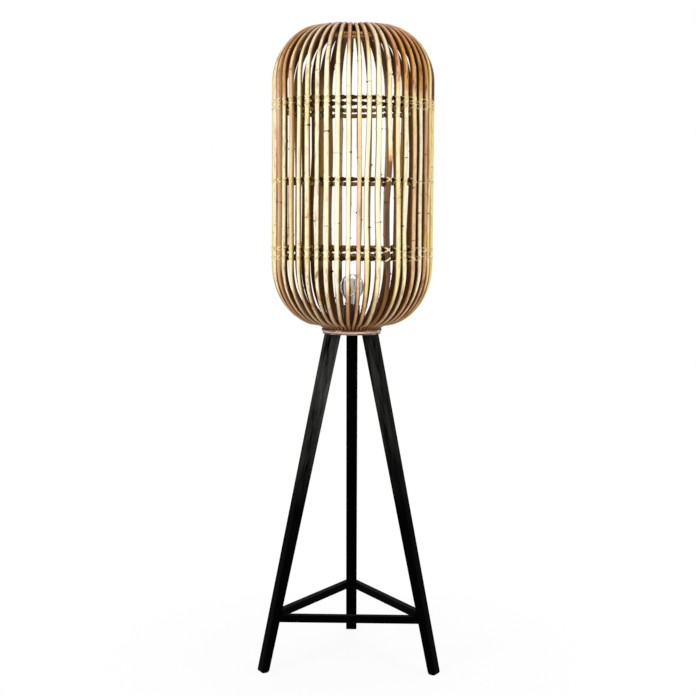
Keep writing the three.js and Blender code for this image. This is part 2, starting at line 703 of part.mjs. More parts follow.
// Profile of the glass: a straight neck, a swelling shoulder and a round top, set in by some depth
function glassProfile(inset) {
  const neck = BULB_CAP_RADIUS - BULB_CAP_WALL - CLEARANCE - inset;
  const bottom = new THREE.Vector2(neck, BULB_BOTTOM + BULB_CAP_HEIGHT - BULB_NECK_IN_CAP);
  const capTop = BULB_BOTTOM + BULB_CAP_HEIGHT;
  const middle = BULB_BOTTOM + BULB_LENGTH - BULB_RADIUS;
  const swell = THREE.MathUtils.lerp(capTop, middle, 1 / 2);
  const shoulder = new THREE.CubicBezierCurve(
    new THREE.Vector2(neck, capTop),
    new THREE.Vector2(neck, swell),
    new THREE.Vector2(BULB_RADIUS - inset, swell),
    new THREE.Vector2(BULB_RADIUS - inset, middle));
  const top = new THREE.EllipseCurve(
    0, middle, BULB_RADIUS - inset, BULB_RADIUS - inset, 0, Math.PI / 2);
  return [bottom, ...shoulder.getPoints(4), ...top.getPoints(4).slice(1)];
}

// Bulb: glass envelope, metal screw cap, glass stem and the filament on it
function bulb() {
  const group = new THREE.Group();
  const outside = glassProfile(0);
  const inside = glassProfile(BULB_GLASS_WALL).reverse();
  outside[outside.length - 1].x = 0;
  inside[0].x = 0;
  const ring = [...outside, ...inside, outside[0]].map((point) => [point.x, point.y]);
  group.add(part('bulb_glass', turned(ring, FINE_SIDES), 'glass'));
  const coneBottom = BULB_BOTTOM + BULB_TIP_HEIGHT;
  const shellBottom = coneBottom + BULB_CONE_HEIGHT;
  const capTop = BULB_BOTTOM + BULB_CAP_HEIGHT;
  const cupFloor = capTop - BULB_NECK_IN_CAP - CLEARANCE;
  const capInner = BULB_CAP_RADIUS - BULB_CAP_WALL;
  const cap = turned([
    [0, BULB_BOTTOM],
    [BULB_TIP_RADIUS, BULB_BOTTOM + BULB_TIP_HEIGHT / 2],
    [BULB_TIP_RADIUS, coneBottom],
    [BULB_CAP_RADIUS, shellBottom],
    [BULB_CAP_RADIUS, capTop],
    [capInner, capTop],
    [capInner, cupFloor],
    [0, cupFloor],
  ], FINE_SIDES);
  group.add(part('bulb_cap', cap, 'nickel'));
  const stemBottom = cupFloor + CLEARANCE;
  const flare = capInner - 2 * CLEARANCE - BULB_GLASS_WALL;
  const stemTop = stemBottom + STEM_HEIGHT;
  const button = FILAMENT_CIRCLE + FILAMENT_RADIUS;
  const stem = turned([
    [0, stemBottom],
    [flare, stemBottom],
    [STEM_ROD_RADIUS, stemBottom + STEM_FLARE_HEIGHT],
    [STEM_ROD_RADIUS, stemTop - STEM_BUTTON_HEIGHT],
    [button, stemTop - STEM_BUTTON_HEIGHT],
    [button, stemTop],
    [0, stemTop],
  ], SMALL_SIDES);
  group.add(part('bulb_stem', stem, 'glass'));
  group.add(filament(stemTop));
  return group;
}

// Filament: one strand that rises and falls around the axis, standing on the stem's button
function filament(foot) {
  const low = foot + CLEARANCE + FILAMENT_RADIUS;
  const points = [];
  const count = 2 * FILAMENT_TURNS;
  for (let i = 0; i < count; i += 1) {
    const angle = i * 2 * Math.PI / count;
    const height = i % 2 === 0 ? low : low + FILAMENT_LENGTH;
    points.push(new THREE.Vector3(
      FILAMENT_CIRCLE * Math.cos(angle), FILAMENT_CIRCLE * Math.sin(angle), height));
  }
  const strand = new THREE.CatmullRomCurve3(points, true);
  const section = new THREE.Shape();
  section.absarc(0, 0, FILAMENT_RADIUS, 0, 2 * Math.PI);
  const tube = new THREE.ExtrudeGeometry(section, {
    extrudePath: strand,
    steps: 4 * count,
    curveSegments: 3,
    bevelEnabled: false,
  });
  return part('bulb_filament', tube, 'filament');
}

// The lamp, moved so that it stands over the middle of its own box
const lamp = new THREE.Group();
lamp.add(
  canePairs(), hoops(), collarBand(), headDisc(), seatHoop(), headScrews(),
  legs(), stretchers(), cordInlet(), lampholder(), bulb());
lamp.updateMatrixWorld(true);
lamp.position.y = -new THREE.Box3().setFromObject(lamp, true).getCenter(new THREE.Vector3()).y;

export default lamp;
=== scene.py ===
import bisect
import math
import random
from collections import namedtuple

import bmesh
import bpy
from mathutils import Matrix, Vector


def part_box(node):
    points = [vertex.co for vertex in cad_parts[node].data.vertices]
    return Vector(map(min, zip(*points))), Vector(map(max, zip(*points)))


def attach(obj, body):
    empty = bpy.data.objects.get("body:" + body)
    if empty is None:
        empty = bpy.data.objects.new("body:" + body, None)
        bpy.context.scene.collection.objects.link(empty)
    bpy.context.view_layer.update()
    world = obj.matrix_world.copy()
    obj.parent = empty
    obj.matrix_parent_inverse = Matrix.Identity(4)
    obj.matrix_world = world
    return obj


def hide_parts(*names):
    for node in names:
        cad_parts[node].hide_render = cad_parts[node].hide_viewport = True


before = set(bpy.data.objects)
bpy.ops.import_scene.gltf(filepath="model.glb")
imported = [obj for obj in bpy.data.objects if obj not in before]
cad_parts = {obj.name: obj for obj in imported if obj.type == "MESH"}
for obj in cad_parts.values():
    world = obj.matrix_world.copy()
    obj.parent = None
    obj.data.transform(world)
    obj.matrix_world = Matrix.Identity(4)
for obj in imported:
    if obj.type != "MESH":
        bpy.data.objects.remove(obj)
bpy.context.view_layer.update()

# Sizes here are in millimetres unless a comment says metres, and times MM they are Blender's
MM = 0.001

# Points closer together than this, in metres, become one
WELD = 1e-6

# The lamp's upright axis, read off a round piece that stands on it
SHELL_LOW, SHELL_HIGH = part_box("screw_shell")
AXIS = Vector(((SHELL_LOW.x + SHELL_HIGH.x) / 2, (SHELL_LOW.y + SHELL_HIGH.y) / 2, 0))

# Cage sizes in millimetres
CANES = 48
CANE_RADIUS = 6.3
CANE_SPREAD = 0.12
SHADE_RADIUS = 200
WALL_RADIUS = SHADE_RADIUS - 2 * CANE_RADIUS * (1 + CANE_SPREAD)
WALL_BOTTOM = 998
WALL_TOP = 1439
COLLAR_RADIUS = 58.5
COLLAR_BOTTOM = 826.3
COLLAR_RISE = 16
COLLAR_FLARE = 0.35
LOWER_DOME = {"centre": 75, "rise": 139, "start": 95}
UPPER_DOME = {"centre": 70, "rise": 126, "mouth": 58}
# How finely the line of the canes is divided at the collar, above it and round each dome
COLLAR_STEPS, SHOULDER_STEPS, DOME_STEPS = 8, 16, 64
HOOP_RADIUS = 4
HOOP_GAP = 0.3
HOOPS = {
    "upper_hoop_high": 1389.4,
    "upper_hoop_low": 1374.9,
    "middle_hoop": 1200.4,
    "lower_hoop_high": 1036.3,
    "lower_hoop_low": 1015.3,
}


# Shapes

# A place on the line: how far along it, radius, height, and the parts of its normal out and up
Place = namedtuple("Place", "distance radius height out up")


def arc(centre, reach, start, end, steps):
    """Points on an ellipse from one angle to another, without the first one."""
    angles = [start + (end - start) * i / steps for i in range(1, steps + 1)]
    return [(centre[0] + reach[0] * math.cos(a), centre[1] + reach[1] * math.sin(a)) for a in angles]


def cage_line():
    """Places along the inner line of the canes, from the collar to the mouth."""
    reach = WALL_RADIUS - LOWER_DOME["centre"]
    rise = LOWER_DOME["rise"]
    start = -math.acos((LOWER_DOME["start"] - LOWER_DOME["centre"]) / reach)
    foot = Vector((COLLAR_RADIUS, COLLAR_BOTTOM))
    flare = Vector((COLLAR_FLARE, 1))
    collar_top = foot + flare * COLLAR_RISE
    dome = Vector((LOWER_DOME["start"], WALL_BOTTOM + rise * math.sin(start)))
    slope = Vector((-reach * math.sin(start), rise * math.cos(start)))
    gap = dome - collar_top
    along = (gap.x * slope.y - gap.y * slope.x) / (flare.x * slope.y - flare.y * slope.x)
    corner = collar_top + flare * along
    points = [foot.lerp(collar_top, i / COLLAR_STEPS) for i in range(COLLAR_STEPS + 1)]
    for i in range(1, SHOULDER_STEPS + 1):
        t = i / SHOULDER_STEPS
        points.append(collar_top.lerp(corner, t).lerp(corner.lerp(dome, t), t))
    lower = arc((LOWER_DOME["centre"], WALL_BOTTOM), (reach, rise), start, 0, DOME_STEPS)
    reach, rise = WALL_RADIUS - UPPER_DOME["centre"], UPPER_DOME["rise"]
    upper = arc((UPPER_DOME["centre"], WALL_TOP), (reach, rise), 0, math.pi / 2, DOME_STEPS)
    mouth = (UPPER_DOME["mouth"], WALL_TOP + rise)
    points += [Vector(point) for point in (*lower, (WALL_RADIUS, WALL_TOP), *upper, mouth)]
    places, distance = [], 0
    for i, point in enumerate(points):
        if i:
            distance += (point - points[i - 1]).length
        run = (points[min(i + 1, len(points) - 1)] - points[max(i - 1, 0)]).normalized()
        places.append(Place(distance, point.x, point.y, run.y, -run.x))
    return places


LINE = cage_line()
LINE_LENGTH = LINE[-1].distance


def on_line(value, column="distance"):
    """The place at a distance along the line, or at a height where column says height."""
    known = [getattr(place, column) for place in LINE]
    value = min(max(value, known[0]), known[-1])
    high = min(max(bisect.bisect_left(known, value), 1), len(LINE) - 1)
    low = high - 1
    share = (value - known[low]) / (known[high] - known[low])
    return Place(*[a + (b - a) * share for a, b in zip(LINE[low], LINE[high])])


def along_line(height):
    """Distance along the line, in metres, at a height in millimetres."""
    return on_line(height, "height").distance * MM


def matrix_of(*columns):
    """Matrix from its three axes and its place."""
    rows = Matrix([[*row] for row in zip(*columns)])
    return Matrix([*rows, (0, 0, 0, 1)])


def frame_at(angle, radius, height, out, up, aside=0, size=(1, 1)):
    """Matrix for a section: X along the cage's normal, Y round the lamp, Z along the cane."""
    away = Vector((math.cos(angle), math.sin(angle), 0))
    around = Vector((-math.sin(angle), math.cos(angle), 0))
    rise = Vector((0, 0, 1))
    normal = away * out + rise * up
    tangent = rise * out - away * up
    place = AXIS + (away * radius + rise * height + around * aside) * MM
    return matrix_of(normal * size[0] * MM, around * size[1] * MM, tangent * MM, place)


def ring_frame(angle, radius, height, half_width, half_height):
    """Matrix for the section of a ring round the lamp: X outwards, Y up."""
    around = frame_at(angle, radius, height, 1, 0)
    section = Matrix.Diagonal((half_width, half_height, 1, 1))
    return around @ Matrix.Rotation(math.pi / 2, 4, "X") @ section


def sweep(bm, frames, sides, mark, closed=False, turn=0):
    """Skin over a row of frames: a ring on the first one, extruded from frame to frame."""
    first_frame = frames[0] @ Matrix.Rotation(turn, 4, "Z")
    ring = bmesh.ops.create_circle(bm, segments=sides, radius=1, matrix=first_frame)["verts"]
    edges = list({e for v in ring for e in v.link_edges})
    first, rings = edges, [ring]
    for before, after in zip(frames, frames[1:]):
        grown = bmesh.ops.extrude_edge_only(bm, edges=edges)["geom"]
        ring = [g for g in grown if isinstance(g, bmesh.types.BMVert)]
        fresh = set(ring)
        edges = [g for g in grown if isinstance(g, bmesh.types.BMEdge) and fresh.issuperset(g.verts)]
        bmesh.ops.transform(bm, matrix=after @ before.inverted(), verts=ring)
        rings.append(ring)
    if closed:
        bmesh.ops.bridge_loops(bm, edges=first + edges)
        caps = []
    else:
        caps = [
            bmesh.ops.contextual_create(bm, geom=loop)["faces"][0] for loop in (first, edges)]
    for index, ring in enumerate(rings):
        flat = frames[index].inverted()
        for vert in ring:
            mark(vert, index, flat @ vert.co)
    return caps


def piece(name, bm, materials, replaced, body="lamp"):
    """Turns a bmesh into a piece that rides on a body and stands for CAD nodes."""
    bmesh.ops.recalc_face_normals(bm, faces=bm.faces)
    for face in bm.faces:
        face.smooth = True
    mesh = bpy.data.meshes.new(name)
    bm.to_mesh(mesh)
    bm.free()
    for material in materials:
        mesh.materials.append(material)
    made = bpy.data.objects.new(name, mesh)
    bpy.context.scene.collection.objects.link(made)
    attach(made, body)
    if replaced:
        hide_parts(*replaced)
    return made


def spun(bm, outline, steps, closed=True):
    """Outline of (radius, height) in millimetres, spun once round the lamp's axis."""
    verts = [bm.verts.new(AXIS + Vector((r, 0, z)) * MM) for r, z in outline]
    pairs = list(zip(verts, verts[1:])) + ([(verts[-1], verts[0])] if closed else [])
    edges = [bm.edges.new(pair) for pair in pairs]
    bmesh.ops.spin(
        bm, geom=verts + edges, cent=AXIS, axis=(0, 0, 1), angle=2 * math.pi, steps=steps,
        use_merge=True)
    bmesh.ops.remove_doubles(bm, verts=bm.verts, dist=WELD)


def crisp(bm, angle):
    """Edges sharper than an angle in degrees keep a hard shading line."""
    for edge in bm.edges:
        if len(edge.link_faces) == 2 and edge.calc_face_angle(0) > math.radians(angle):
            edge.smooth = False


# Materials

def colour(code):
    """Linear colour from an sRGB hex value."""
    parts = [int(code[i:i + 2], 16) / 255 for i in (0, 2, 4)]
    return (*[p / 12.92 if p <= 0.04045 else ((p + 0.055) / 1.055) ** 2.4 for p in parts], 1)


def add(tree, kind, inputs=None, stops=None, **settings):
    """Adds a node: settings are its properties, inputs hold values or other nodes' outputs."""
    made = tree.nodes.new("ShaderNode" + kind)
    for name, value in settings.items():
        setattr(made, name, value)
    if stops:
        ramp = made.color_ramp
        while len(ramp.elements) < len(stops):
            ramp.elements.new(1)
        for element, (position, code) in zip(ramp.elements, stops):
            element.position = position
            element.color = colour(code)
    for name, value in (inputs or {}).items():
        if isinstance(value, bpy.types.NodeSocket):
            tree.links.new(value, made.inputs[name])
        else:
            made.inputs[name].default_value = value
    return made


def material(name, shader, build):
    """Material with one principled shader; build(tree) gives what feeds the shader's sockets."""
    made = bpy.data.materials.new(name)
    made.use_nodes = True
    tree = made.node_tree
    tree.nodes.clear()
    surface = add(tree, "BsdfPrincipled", {**shader, **build(tree)})
    add(tree, "OutputMaterial", {"Surface": surface.outputs[0]})
    return made


def grain(tree, place, size, detail, rough=0.5):
    """Noise for a place in metres, its features as long as size says, in millimetres each way."""
    fine = add(tree, "VectorMath", {0: place, 1: [1 / MM / s for s in size]},
               operation="MULTIPLY")
    return add(tree, "TexNoise", {
        "Vector": fine.outputs[0], "Scale": 1, "Detail": detail, "Roughness": rough}).outputs[0]


def remap(tree, value, low, high, bottom=0, top=1, **settings):
    """A value's stretch from low to high, spread from bottom to top and held beyond them."""
    return add(tree, "MapRange", {
        "Value": value, "From Min": low, "From Max": high, "To Min": bottom, "To Max": top},
        **settings).outputs[0]


def scaled_sum(tree, value, share, base, **settings):
    """A share of a value on top of a base."""
    return add(tree, "Math", {0: value, 1: share, 2: base}, operation="MULTIPLY_ADD",
               **settings).outputs[0]


def blend(tree, share, under, over):
    """A share of one colour over another."""
    return add(tree, "Mix", {0: share, 6: under, 7: over}, data_type="RGBA").outputs[2]


def ramp(tree, value, stops):
    """Colour at a value's place between stops."""
    return add(tree, "ValToRGB", {0: value}, stops=stops).outputs[0]


def relief(tree, height, depth, strength=1):
    """Normal of a skin whose bumps are as deep as depth says, in millimetres."""
    return add(tree, "Bump", {
        "Height": height, "Distance": depth * MM, "Strength": strength}).outputs[0]


# Tones of the canes, as places on one ramp
TONES = {
    "cream": 0.0, "straw": 0.12, "yellow": 0.25, "peach": 0.4, "pink": 0.55, "ochre": 0.68,
    "brown": 0.8, "plum": 0.9, "umber": 1.0}
TONE_CODES = {
    "cream": "fef5d0", "straw": "fbebb4", "yellow": "f4e08a", "peach": "f5d3a2",
    "pink": "dba37e", "ochre": "e2a64e", "brown": "744824", "plum": "5a3a2c", "umber": "26160c"}

# Stretches of a cane's length, in metres, that painted shade darkens: the bowl and the rim
BOWL_TOP, BOWL_FOOT = along_line(940), along_line(852)
RIM_FOOT, RIM_TOP = along_line(1480), along_line(1558)
# Stretches, in metres too, over which painted shade on its inner side deepens, into the bowl
# and into the dome
BOWL_START, BOWL_FULL = along_line(1005), along_line(975)
DOME_START, DOME_FULL = along_line(1430), along_line(1490)
# How dark that painted shade gets there
BOWL_DARK, DOME_DARK = 0.85, 0.8
# Noises on a cane: size in millimetres, detail and roughness
CANE_NOISES = {
    "streak": ((2.6, 2.6, 70), 3, 0.6),
    "blot": ((7, 7, 26), 4, 0.65),
    "drift": ((60, 60, 150), 2, 0.5)}
# How much the streaks and the slow drift shift a cane's tone, and what takes their mean away
STREAK_SHIFT, DRIFT_SHIFT, MEAN_SHIFT = 0.2, 0.5, 0.35
# How far off in metres a cane of seed 1 takes its noise
NOISE_APART = (3, 5, 9)
# Where in their noise the blots begin and are full, and how many more there are in bowl and dome
BLOT_FROM, BLOT_FULL, MORE_BLOTS = 0.5, 0.64, 0.5
# Colours of a cane's inner side, over its seed: painted shade, and at the pale end painted light
INNER_SHADING = [
    (0.05, "4c260c"), (0.35, "8a6428"), (0.6, "6a4018"), (0.8, "b48c50"), (1, "ead6a4")]


def rattan(tree):
    """Whole rattan cane: long streaks, knot marks, painted shade on its flanks and inner side."""
    place, tint, lit_facing, knot = (
        add(tree, "Attribute", attribute_name=name) for name in ("place", "tint", "lit_facing", "knot"))
    lit_facing, knot = lit_facing.outputs["Fac"], knot.outputs["Fac"]
    along = add(tree, "SeparateXYZ", {0: place.outputs["Vector"]}).outputs[2]
    tone, blots, seed = add(tree, "SeparateXYZ", {0: tint.outputs["Vector"]}).outputs
    offset = add(tree, "CombineXYZ", {0: seed, 1: seed, 2: seed})
    # Each cane takes its noise from elsewhere, so that no two are alike
    apart = add(tree, "VectorMath", {
        0: offset.outputs[0], 1: NOISE_APART, 2: place.outputs["Vector"]},
        operation="MULTIPLY_ADD")
    clouds = {name: grain(tree, apart.outputs[0], *facts) for name, facts in CANE_NOISES.items()}

    shifted = scaled_sum(tree, clouds["streak"], STREAK_SHIFT, tone)
    drifted = scaled_sum(tree, clouds["drift"], DRIFT_SHIFT, shifted)
    centred = add(tree, "Math", {0: drifted, 1: MEAN_SHIFT}, operation="SUBTRACT")
    # Painted shade deepens on the inner side into the bowl and the dome, and more blots come there
    in_bowl = remap(tree, along, BOWL_START, BOWL_FULL, top=BOWL_DARK)
    in_dome = remap(tree, along, DOME_START, DOME_FULL, top=DOME_DARK)
    end_shade_and_blots = add(tree, "Math", {0: in_bowl, 1: in_dome}, operation="ADD").outputs[0]
    blot_share = scaled_sum(tree, end_shade_and_blots, MORE_BLOTS, blots, use_clamp=True)
    blotted = remap(tree, clouds["blot"], BLOT_FROM, BLOT_FULL, top=blot_share)
    inner = blend(tree, end_shade_and_blots, ramp(tree, seed, INNER_SHADING), colour("4a2208"))

    # Over the skin lie streaks, blots, painted shade at the foot and rim, knots, and painted shade
    # on
    # the flanks and the inner side: what drives each of them, from where to where, its greatest
    # share and its colour
    skin = ramp(tree, centred.outputs[0], [(TONES[t], TONE_CODES[t]) for t in TONES])
    for value, low, high, share, over in (
            (clouds["streak"], 0.52, 0.8, 0.5, colour("b98a3e")),
            (blotted, 0, 1, 1, colour("8a4a14")),
            # Painted shade towards the foot and the rim
            (along, BOWL_TOP, BOWL_FOOT, 0.93, colour("55301e")),
            (along, RIM_FOOT, RIM_TOP, 0.72, colour("6e3820")),
            (knot, 0, 1, 1, colour("3f220c")),
            # Painted shade: ochre on the flanks, then the inner side's colour over them
            (lit_facing, 0.74, 0.5, 0.7, colour("a0641c")),
            (lit_facing, 0.55, 0.25, 0.98, inner)):
        skin = blend(tree, remap(tree, value, low, high, top=share), skin, over)
    return {"Base Color": skin,
            "Roughness": remap(tree, clouds["blot"], 0.3, 0.7, 0.38, 0.6),
            "Specular IOR Level": remap(tree, lit_facing, 0.22, 0.62, 0.04, 0.35),
            "Normal": relief(tree, clouds["streak"], 0.5, 0.5)}


def cut_end(tree):
    """Cut cane: pale pith with open pores, drawn 1 mm apart so that they show."""
    at = add(tree, "TexCoord")
    pores = add(tree, "TexVoronoi", {"Vector": at.outputs["Object"], "Scale": 1 / MM})
    depth = pores.outputs["Distance"]
    return {"Base Color": ramp(tree, depth, [(0.12, "4d341d"), (0.35, "a67c4c"), (0.7, "c9a06a")]),
            "Normal": relief(tree, depth, 0.4)}


def strand(dark, middle, pale, size):
    """Thin strips of rattan skin, each with its own tone from the piece's tint."""
    def build(tree):
        at = add(tree, "TexCoord")
        tint = add(tree, "Attribute", attribute_name="tint")
        own = add(tree, "SeparateXYZ", {0: tint.outputs["Vector"]})
        noise = grain(tree, at.outputs["Object"], size, 3)
        tone = scaled_sum(tree, noise, 0.5, own.outputs[0])
        return {"Base Color": ramp(tree, tone, [(0.25, dark), (0.6, middle), (1, pale)]),
                "Normal": relief(tree, noise, 0.4, 0.6)}
    return build


# Heights in metres between which the painted highlight on the black paint sets in
HIGHLIGHT_FROM, HIGHLIGHT_FULL = 0.4, 0.72


def painted(direction, highlight_grey="1c1c1c"):
    """Brushed black paint on wood: grain along the piece, a painted highlight in grey streaks up
    high.
    """
    def build(tree):
        at = add(tree, "TexCoord")
        lean = Vector(direction).rotation_difference(Vector((0, 0, 1))).to_euler()
        along = add(tree, "Mapping", {"Vector": at.outputs["Object"], "Rotation": lean},
                    vector_type="POINT").outputs[0]
        brush = grain(tree, along, (1.6, 1.6, 60), 4, 0.6)
        highlight_streaks = grain(tree, along, (16, 16, 120), 5, 0.7)
        paint = ramp(tree, brush, [(0.35, "000000"), (0.6, "010101"), (0.8, "040404")])
        height = add(tree, "SeparateXYZ", {0: at.outputs["Object"]}).outputs[2]
        high_up = remap(tree, height, HIGHLIGHT_FROM, HIGHLIGHT_FULL, bottom=0.02)
        # Painted highlight: grey streaks that grow towards the top
        painted_light = remap(tree, highlight_streaks, 0.38, 0.66, top=high_up)
        return {"Base Color": blend(tree, painted_light, paint, colour(highlight_grey)),
                "Roughness": remap(tree, brush, 0.3, 0.7, 0.4, 0.62),
                "Normal": relief(tree, brush, 0.4, 0.5)}
    return build


def speckled(codes, size, rough, depth=0.1):
    """Even finish with fine noise in its colour and gloss: its size and depth in millimetres."""
    def build(tree):
        at = add(tree, "TexCoord")
        noise = add(tree, "TexNoise", {
            "Vector": at.outputs["Object"], "Scale": 1 / MM / size, "Detail": 3}).outputs[0]
        return {"Base Color": ramp(tree, noise, [(0.3, codes[0]), (0.7, codes[1])]),
                "Roughness": remap(tree, noise, 0.3, 0.7, *rough),
                "Normal": relief(tree, noise, depth, 0.3)}
    return build


# Whole rattan cane, scraped and sealed: satin, pale, streaked along its length
RATTAN = material("rattan_cane_sealed", {}, rattan)
# The same cane sawn through: matt and porous
RATTAN_END = material("rattan_cane_sawn_end", {"Roughness": 0.85}, cut_end)
# Hoops wound with split cane, dark brown to near black as painted shade, paler on the inner side as
# painted light: low sheen
HOOP_WRAP = material("split_cane_wrap_dark_shade", {"Roughness": 0.6, "Specular IOR Level": 0.1},
                     strand("341e08", "644414", "b89458", (1.5, 1.5, 1.5)))
# Lashings of split rattan skin: glossy strips, straw to brown
LASHING = material("split_cane_lashing", {"Roughness": 0.5, "Specular IOR Level": 0.2},
                   strand("2c1a08", "dcc488", "f8eab8", (1.2, 1.2, 3)))
# Binding of the collar: pinkish tan strips with a soft shine
BINDING = material("split_cane_binding", {"Roughness": 0.45, "Specular IOR Level": 0.3},
                   strand("452c26", "775650", "ead0b6", (9, 9, 1.2)))
# Bare hardwood dowels: pale, matt
DOWEL_WOOD = material("beech_dowel_bare", {},
                      speckled(("b88f5e", "d2ae7e"), 2, (0.65, 0.85)))
# Zinc-plated steel: cool grey, satin
STEEL = material("steel_zinc_plated", {"Metallic": 1},
                 speckled(("9fa1a3", "bfc1c2"), 0.8, (0.25, 0.45), 0.05))
# Rolled brass sheet: warm yellow metal, lightly dulled
BRASS = material("brass_rolled", {"Metallic": 1},
                 speckled(("b98d3c", "d9b463"), 1.5, (0.2, 0.4), 0.05))
# Nickel-plated bulb cap: bright grey metal
NICKEL = material("nickel_plated_cap", {"Metallic": 1},
                  speckled(("a5a39c", "c9c6bd"), 1.5, (0.18, 0.34), 0.05))
# Black glass that insulates the bulb's tip: smooth, near black
CAP_GLASS = material("black_cap_glass", {},
                     speckled(("0a0a0c", "141417"), 3, (0.08, 0.16), 0.02))
# Phenolic lampholder: dark brown, moulded, a satin skin
PHENOLIC = material("phenolic_moulded_brown", {"Specular IOR Level": 0.3},
                    speckled(("38200e", "4a2c14"), 1.2, (0.36, 0.52), 0.08))
# Glazed ceramic insert: cream white, glossy
CERAMIC = material("ceramic_glazed", {"Coat Weight": 0.5},
                   speckled(("ded9cd", "f0ece2"), 2.5, (0.2, 0.32), 0.05))
# Filament strips: warm matt yellow
FILAMENT = material("filament_phosphor_coated", {},
                    speckled(("c98f3a", "e6b765"), 0.7, (0.5, 0.7), 0.05))
# Clear soda glass with faint waves
GLASS = material("soda_glass_clear", {"Transmission Weight": 1, "IOR": 1.2},
                 speckled(("fdfefe", "ffffff"), 14, (0.0, 0.02), 0.03))


# Canes

# Stretches of canes picked out in the photograph: first and last cane counted from the lamp's
# right side, lowest and highest point, tone, share of blots
OWN_TONES = [
    (24, 25, 800, 1180, "yellow", 0.2), (24, 25, 1180, 1570, "peach", 0.1),
    (28, 29, 1390, 1570, "pink", 0.5), (30, 30, 1040, 1570, "peach", 0.2),
    (35, 36, 940, 1500, "cream", 0), (37, 37, 860, 1340, "peach", 0.2),
    (37, 37, 1340, 1520, "straw", 0.1), (38, 39, 1020, 1480, "cream", 0),
    (40, 40, 800, 1262, "plum", 0.1), (41, 41, 1420, 1570, "pink", 0.7),
    (42, 45, 1400, 1570, "ochre", 1), (43, 43, 800, 1400, "peach", 0.3),
    (45, 45, 800, 1400, "pink", 0.5), (46, 47, 800, 1392, "yellow", 0.3),
    (47, 47, 1385, 1485, "umber", 0.6), (0, 0, 1385, 1485, "umber", 0.6)]
COMMON_TONES = ["cream"] * 9 + ["straw"] * 6 + ["yellow"] * 2 + ["peach"] * 4 + ["pink"] * 2
# Canes that stand to one side of their even place, in shares of the free gap
OWN_LEANS = {30: 0.3, 31: 0.7, 32: 0.85, 33: 0.9, 34: 0.9, 35: 0.9, 36: 0.9, 37: 0.7}
# The two front canes are slimmer, so that their lashings stay inside the shade's reach
OWN_SIZES = {36: 0.88, 37: 0.9}

# The first cane's seed for random draws
FIRST_SEED = 100
# Sections of a cane: their number of sides, how far apart they lie, and where they lie at a knot
CANE_SIDES = 12
STATION_STEP = 11
KNOT_STEPS = (-5, -2.4, -1.1, 0, 1.1, 2.4, 5)
KNOT_CLEAR = 7
# Half the least gap between crowded canes
HALF_GAP = 0.1
# Knots: the first one, the steps between them, and how far they keep from the mouth and the hoops
FIRST_KNOTS = (70, 210)
KNOT_SPACING = (95, 230)
KNOT_FROM_MOUTH = 60
KNOT_FROM_HOOP = 14
HOOP_SPOTS = [on_line(height, "height").distance for height in HOOPS.values()]
# Swelling at a knot as a share of the radius, and the lengths of it and of its dark mark
KNOT_SWELL = 0.1
KNOT_REACH = 2.4
MARK_REACH = 2.2
KNOT_STRENGTHS = [0.15, 0.35, 0.6, 1]
# The mark's darkest side turns with the seed and along the cane, and at right angles to it the
# mark is this dark
MARK_TURN = 9
MARK_ASIDE = 0.4
# Unevenness of a cane as a share of its radius, the share of its sway that comes from kinks, how
# far its end may lean, and how often it sways from end to end
UNEVEN = 0.03
KINK_SHARE = 0.75
END_BEND = 0.7
SWAYS = (1.4, 3.2)
# At both ends a cane is held still, and comes free over a stretch
HELD_AT_FOOT, FREED_ABOVE_FOOT = 25, 90
HELD_AT_MOUTH, FREED_BELOW_MOUTH = 15, 70
# How unevenly the ends are cut
RAGGED = 3
# Tones: how far a cane strays from its tone, its blots, and how far a stretch takes to change
TONE_SPREAD = 0.05
BLOT_SHARES = [0, 0.1, 0.25, 0.45]
TONE_FADE = 45
# Canes at the back whose inner side is pale as painted light, and where on the inner side's ramp
# they and the others lie
LIT_INSIDE = range(9, 17)
PALE_SEEDS, OTHER_SEEDS = (0.72, 1), (0, 0.9)
# How far round their flanks the canes take painted shade on the wall, in the bowl and in the dome,
# and how long the change takes
WALL_SHADE, BOWL_SHADE, DOME_SHADE = -0.12, 0.3, 0.22
BOWL_CHANGE, DOME_CHANGE = 70, 60
# Stubs of side shoots: share of knots that have one, turn off the outer side, radius, how much
# they narrow, how far they stand out and how dark they are
SCAR_SHARE = 0.7
SCAR_TURNS = (0.9, 1.5)
SCAR_RADII = (2.4, 4.4)
SCAR_TAPER = 0.6
SCAR_PROUD = 1.5
SCAR_DARKS = (0.5, 1)
SCAR_SIDES = 8


def limited(value, low=0, high=1):
    """The value, or the limit that it is past."""
    return min(max(value, low), high)


def cane_radius(own, place):
    """Radius of a cane, and what is left of it where the canes crowd side by side."""
    half_pitch = math.pi / CANES
    return min(own, (half_pitch * place.radius - HALF_GAP) / (1 - half_pitch * place.out))


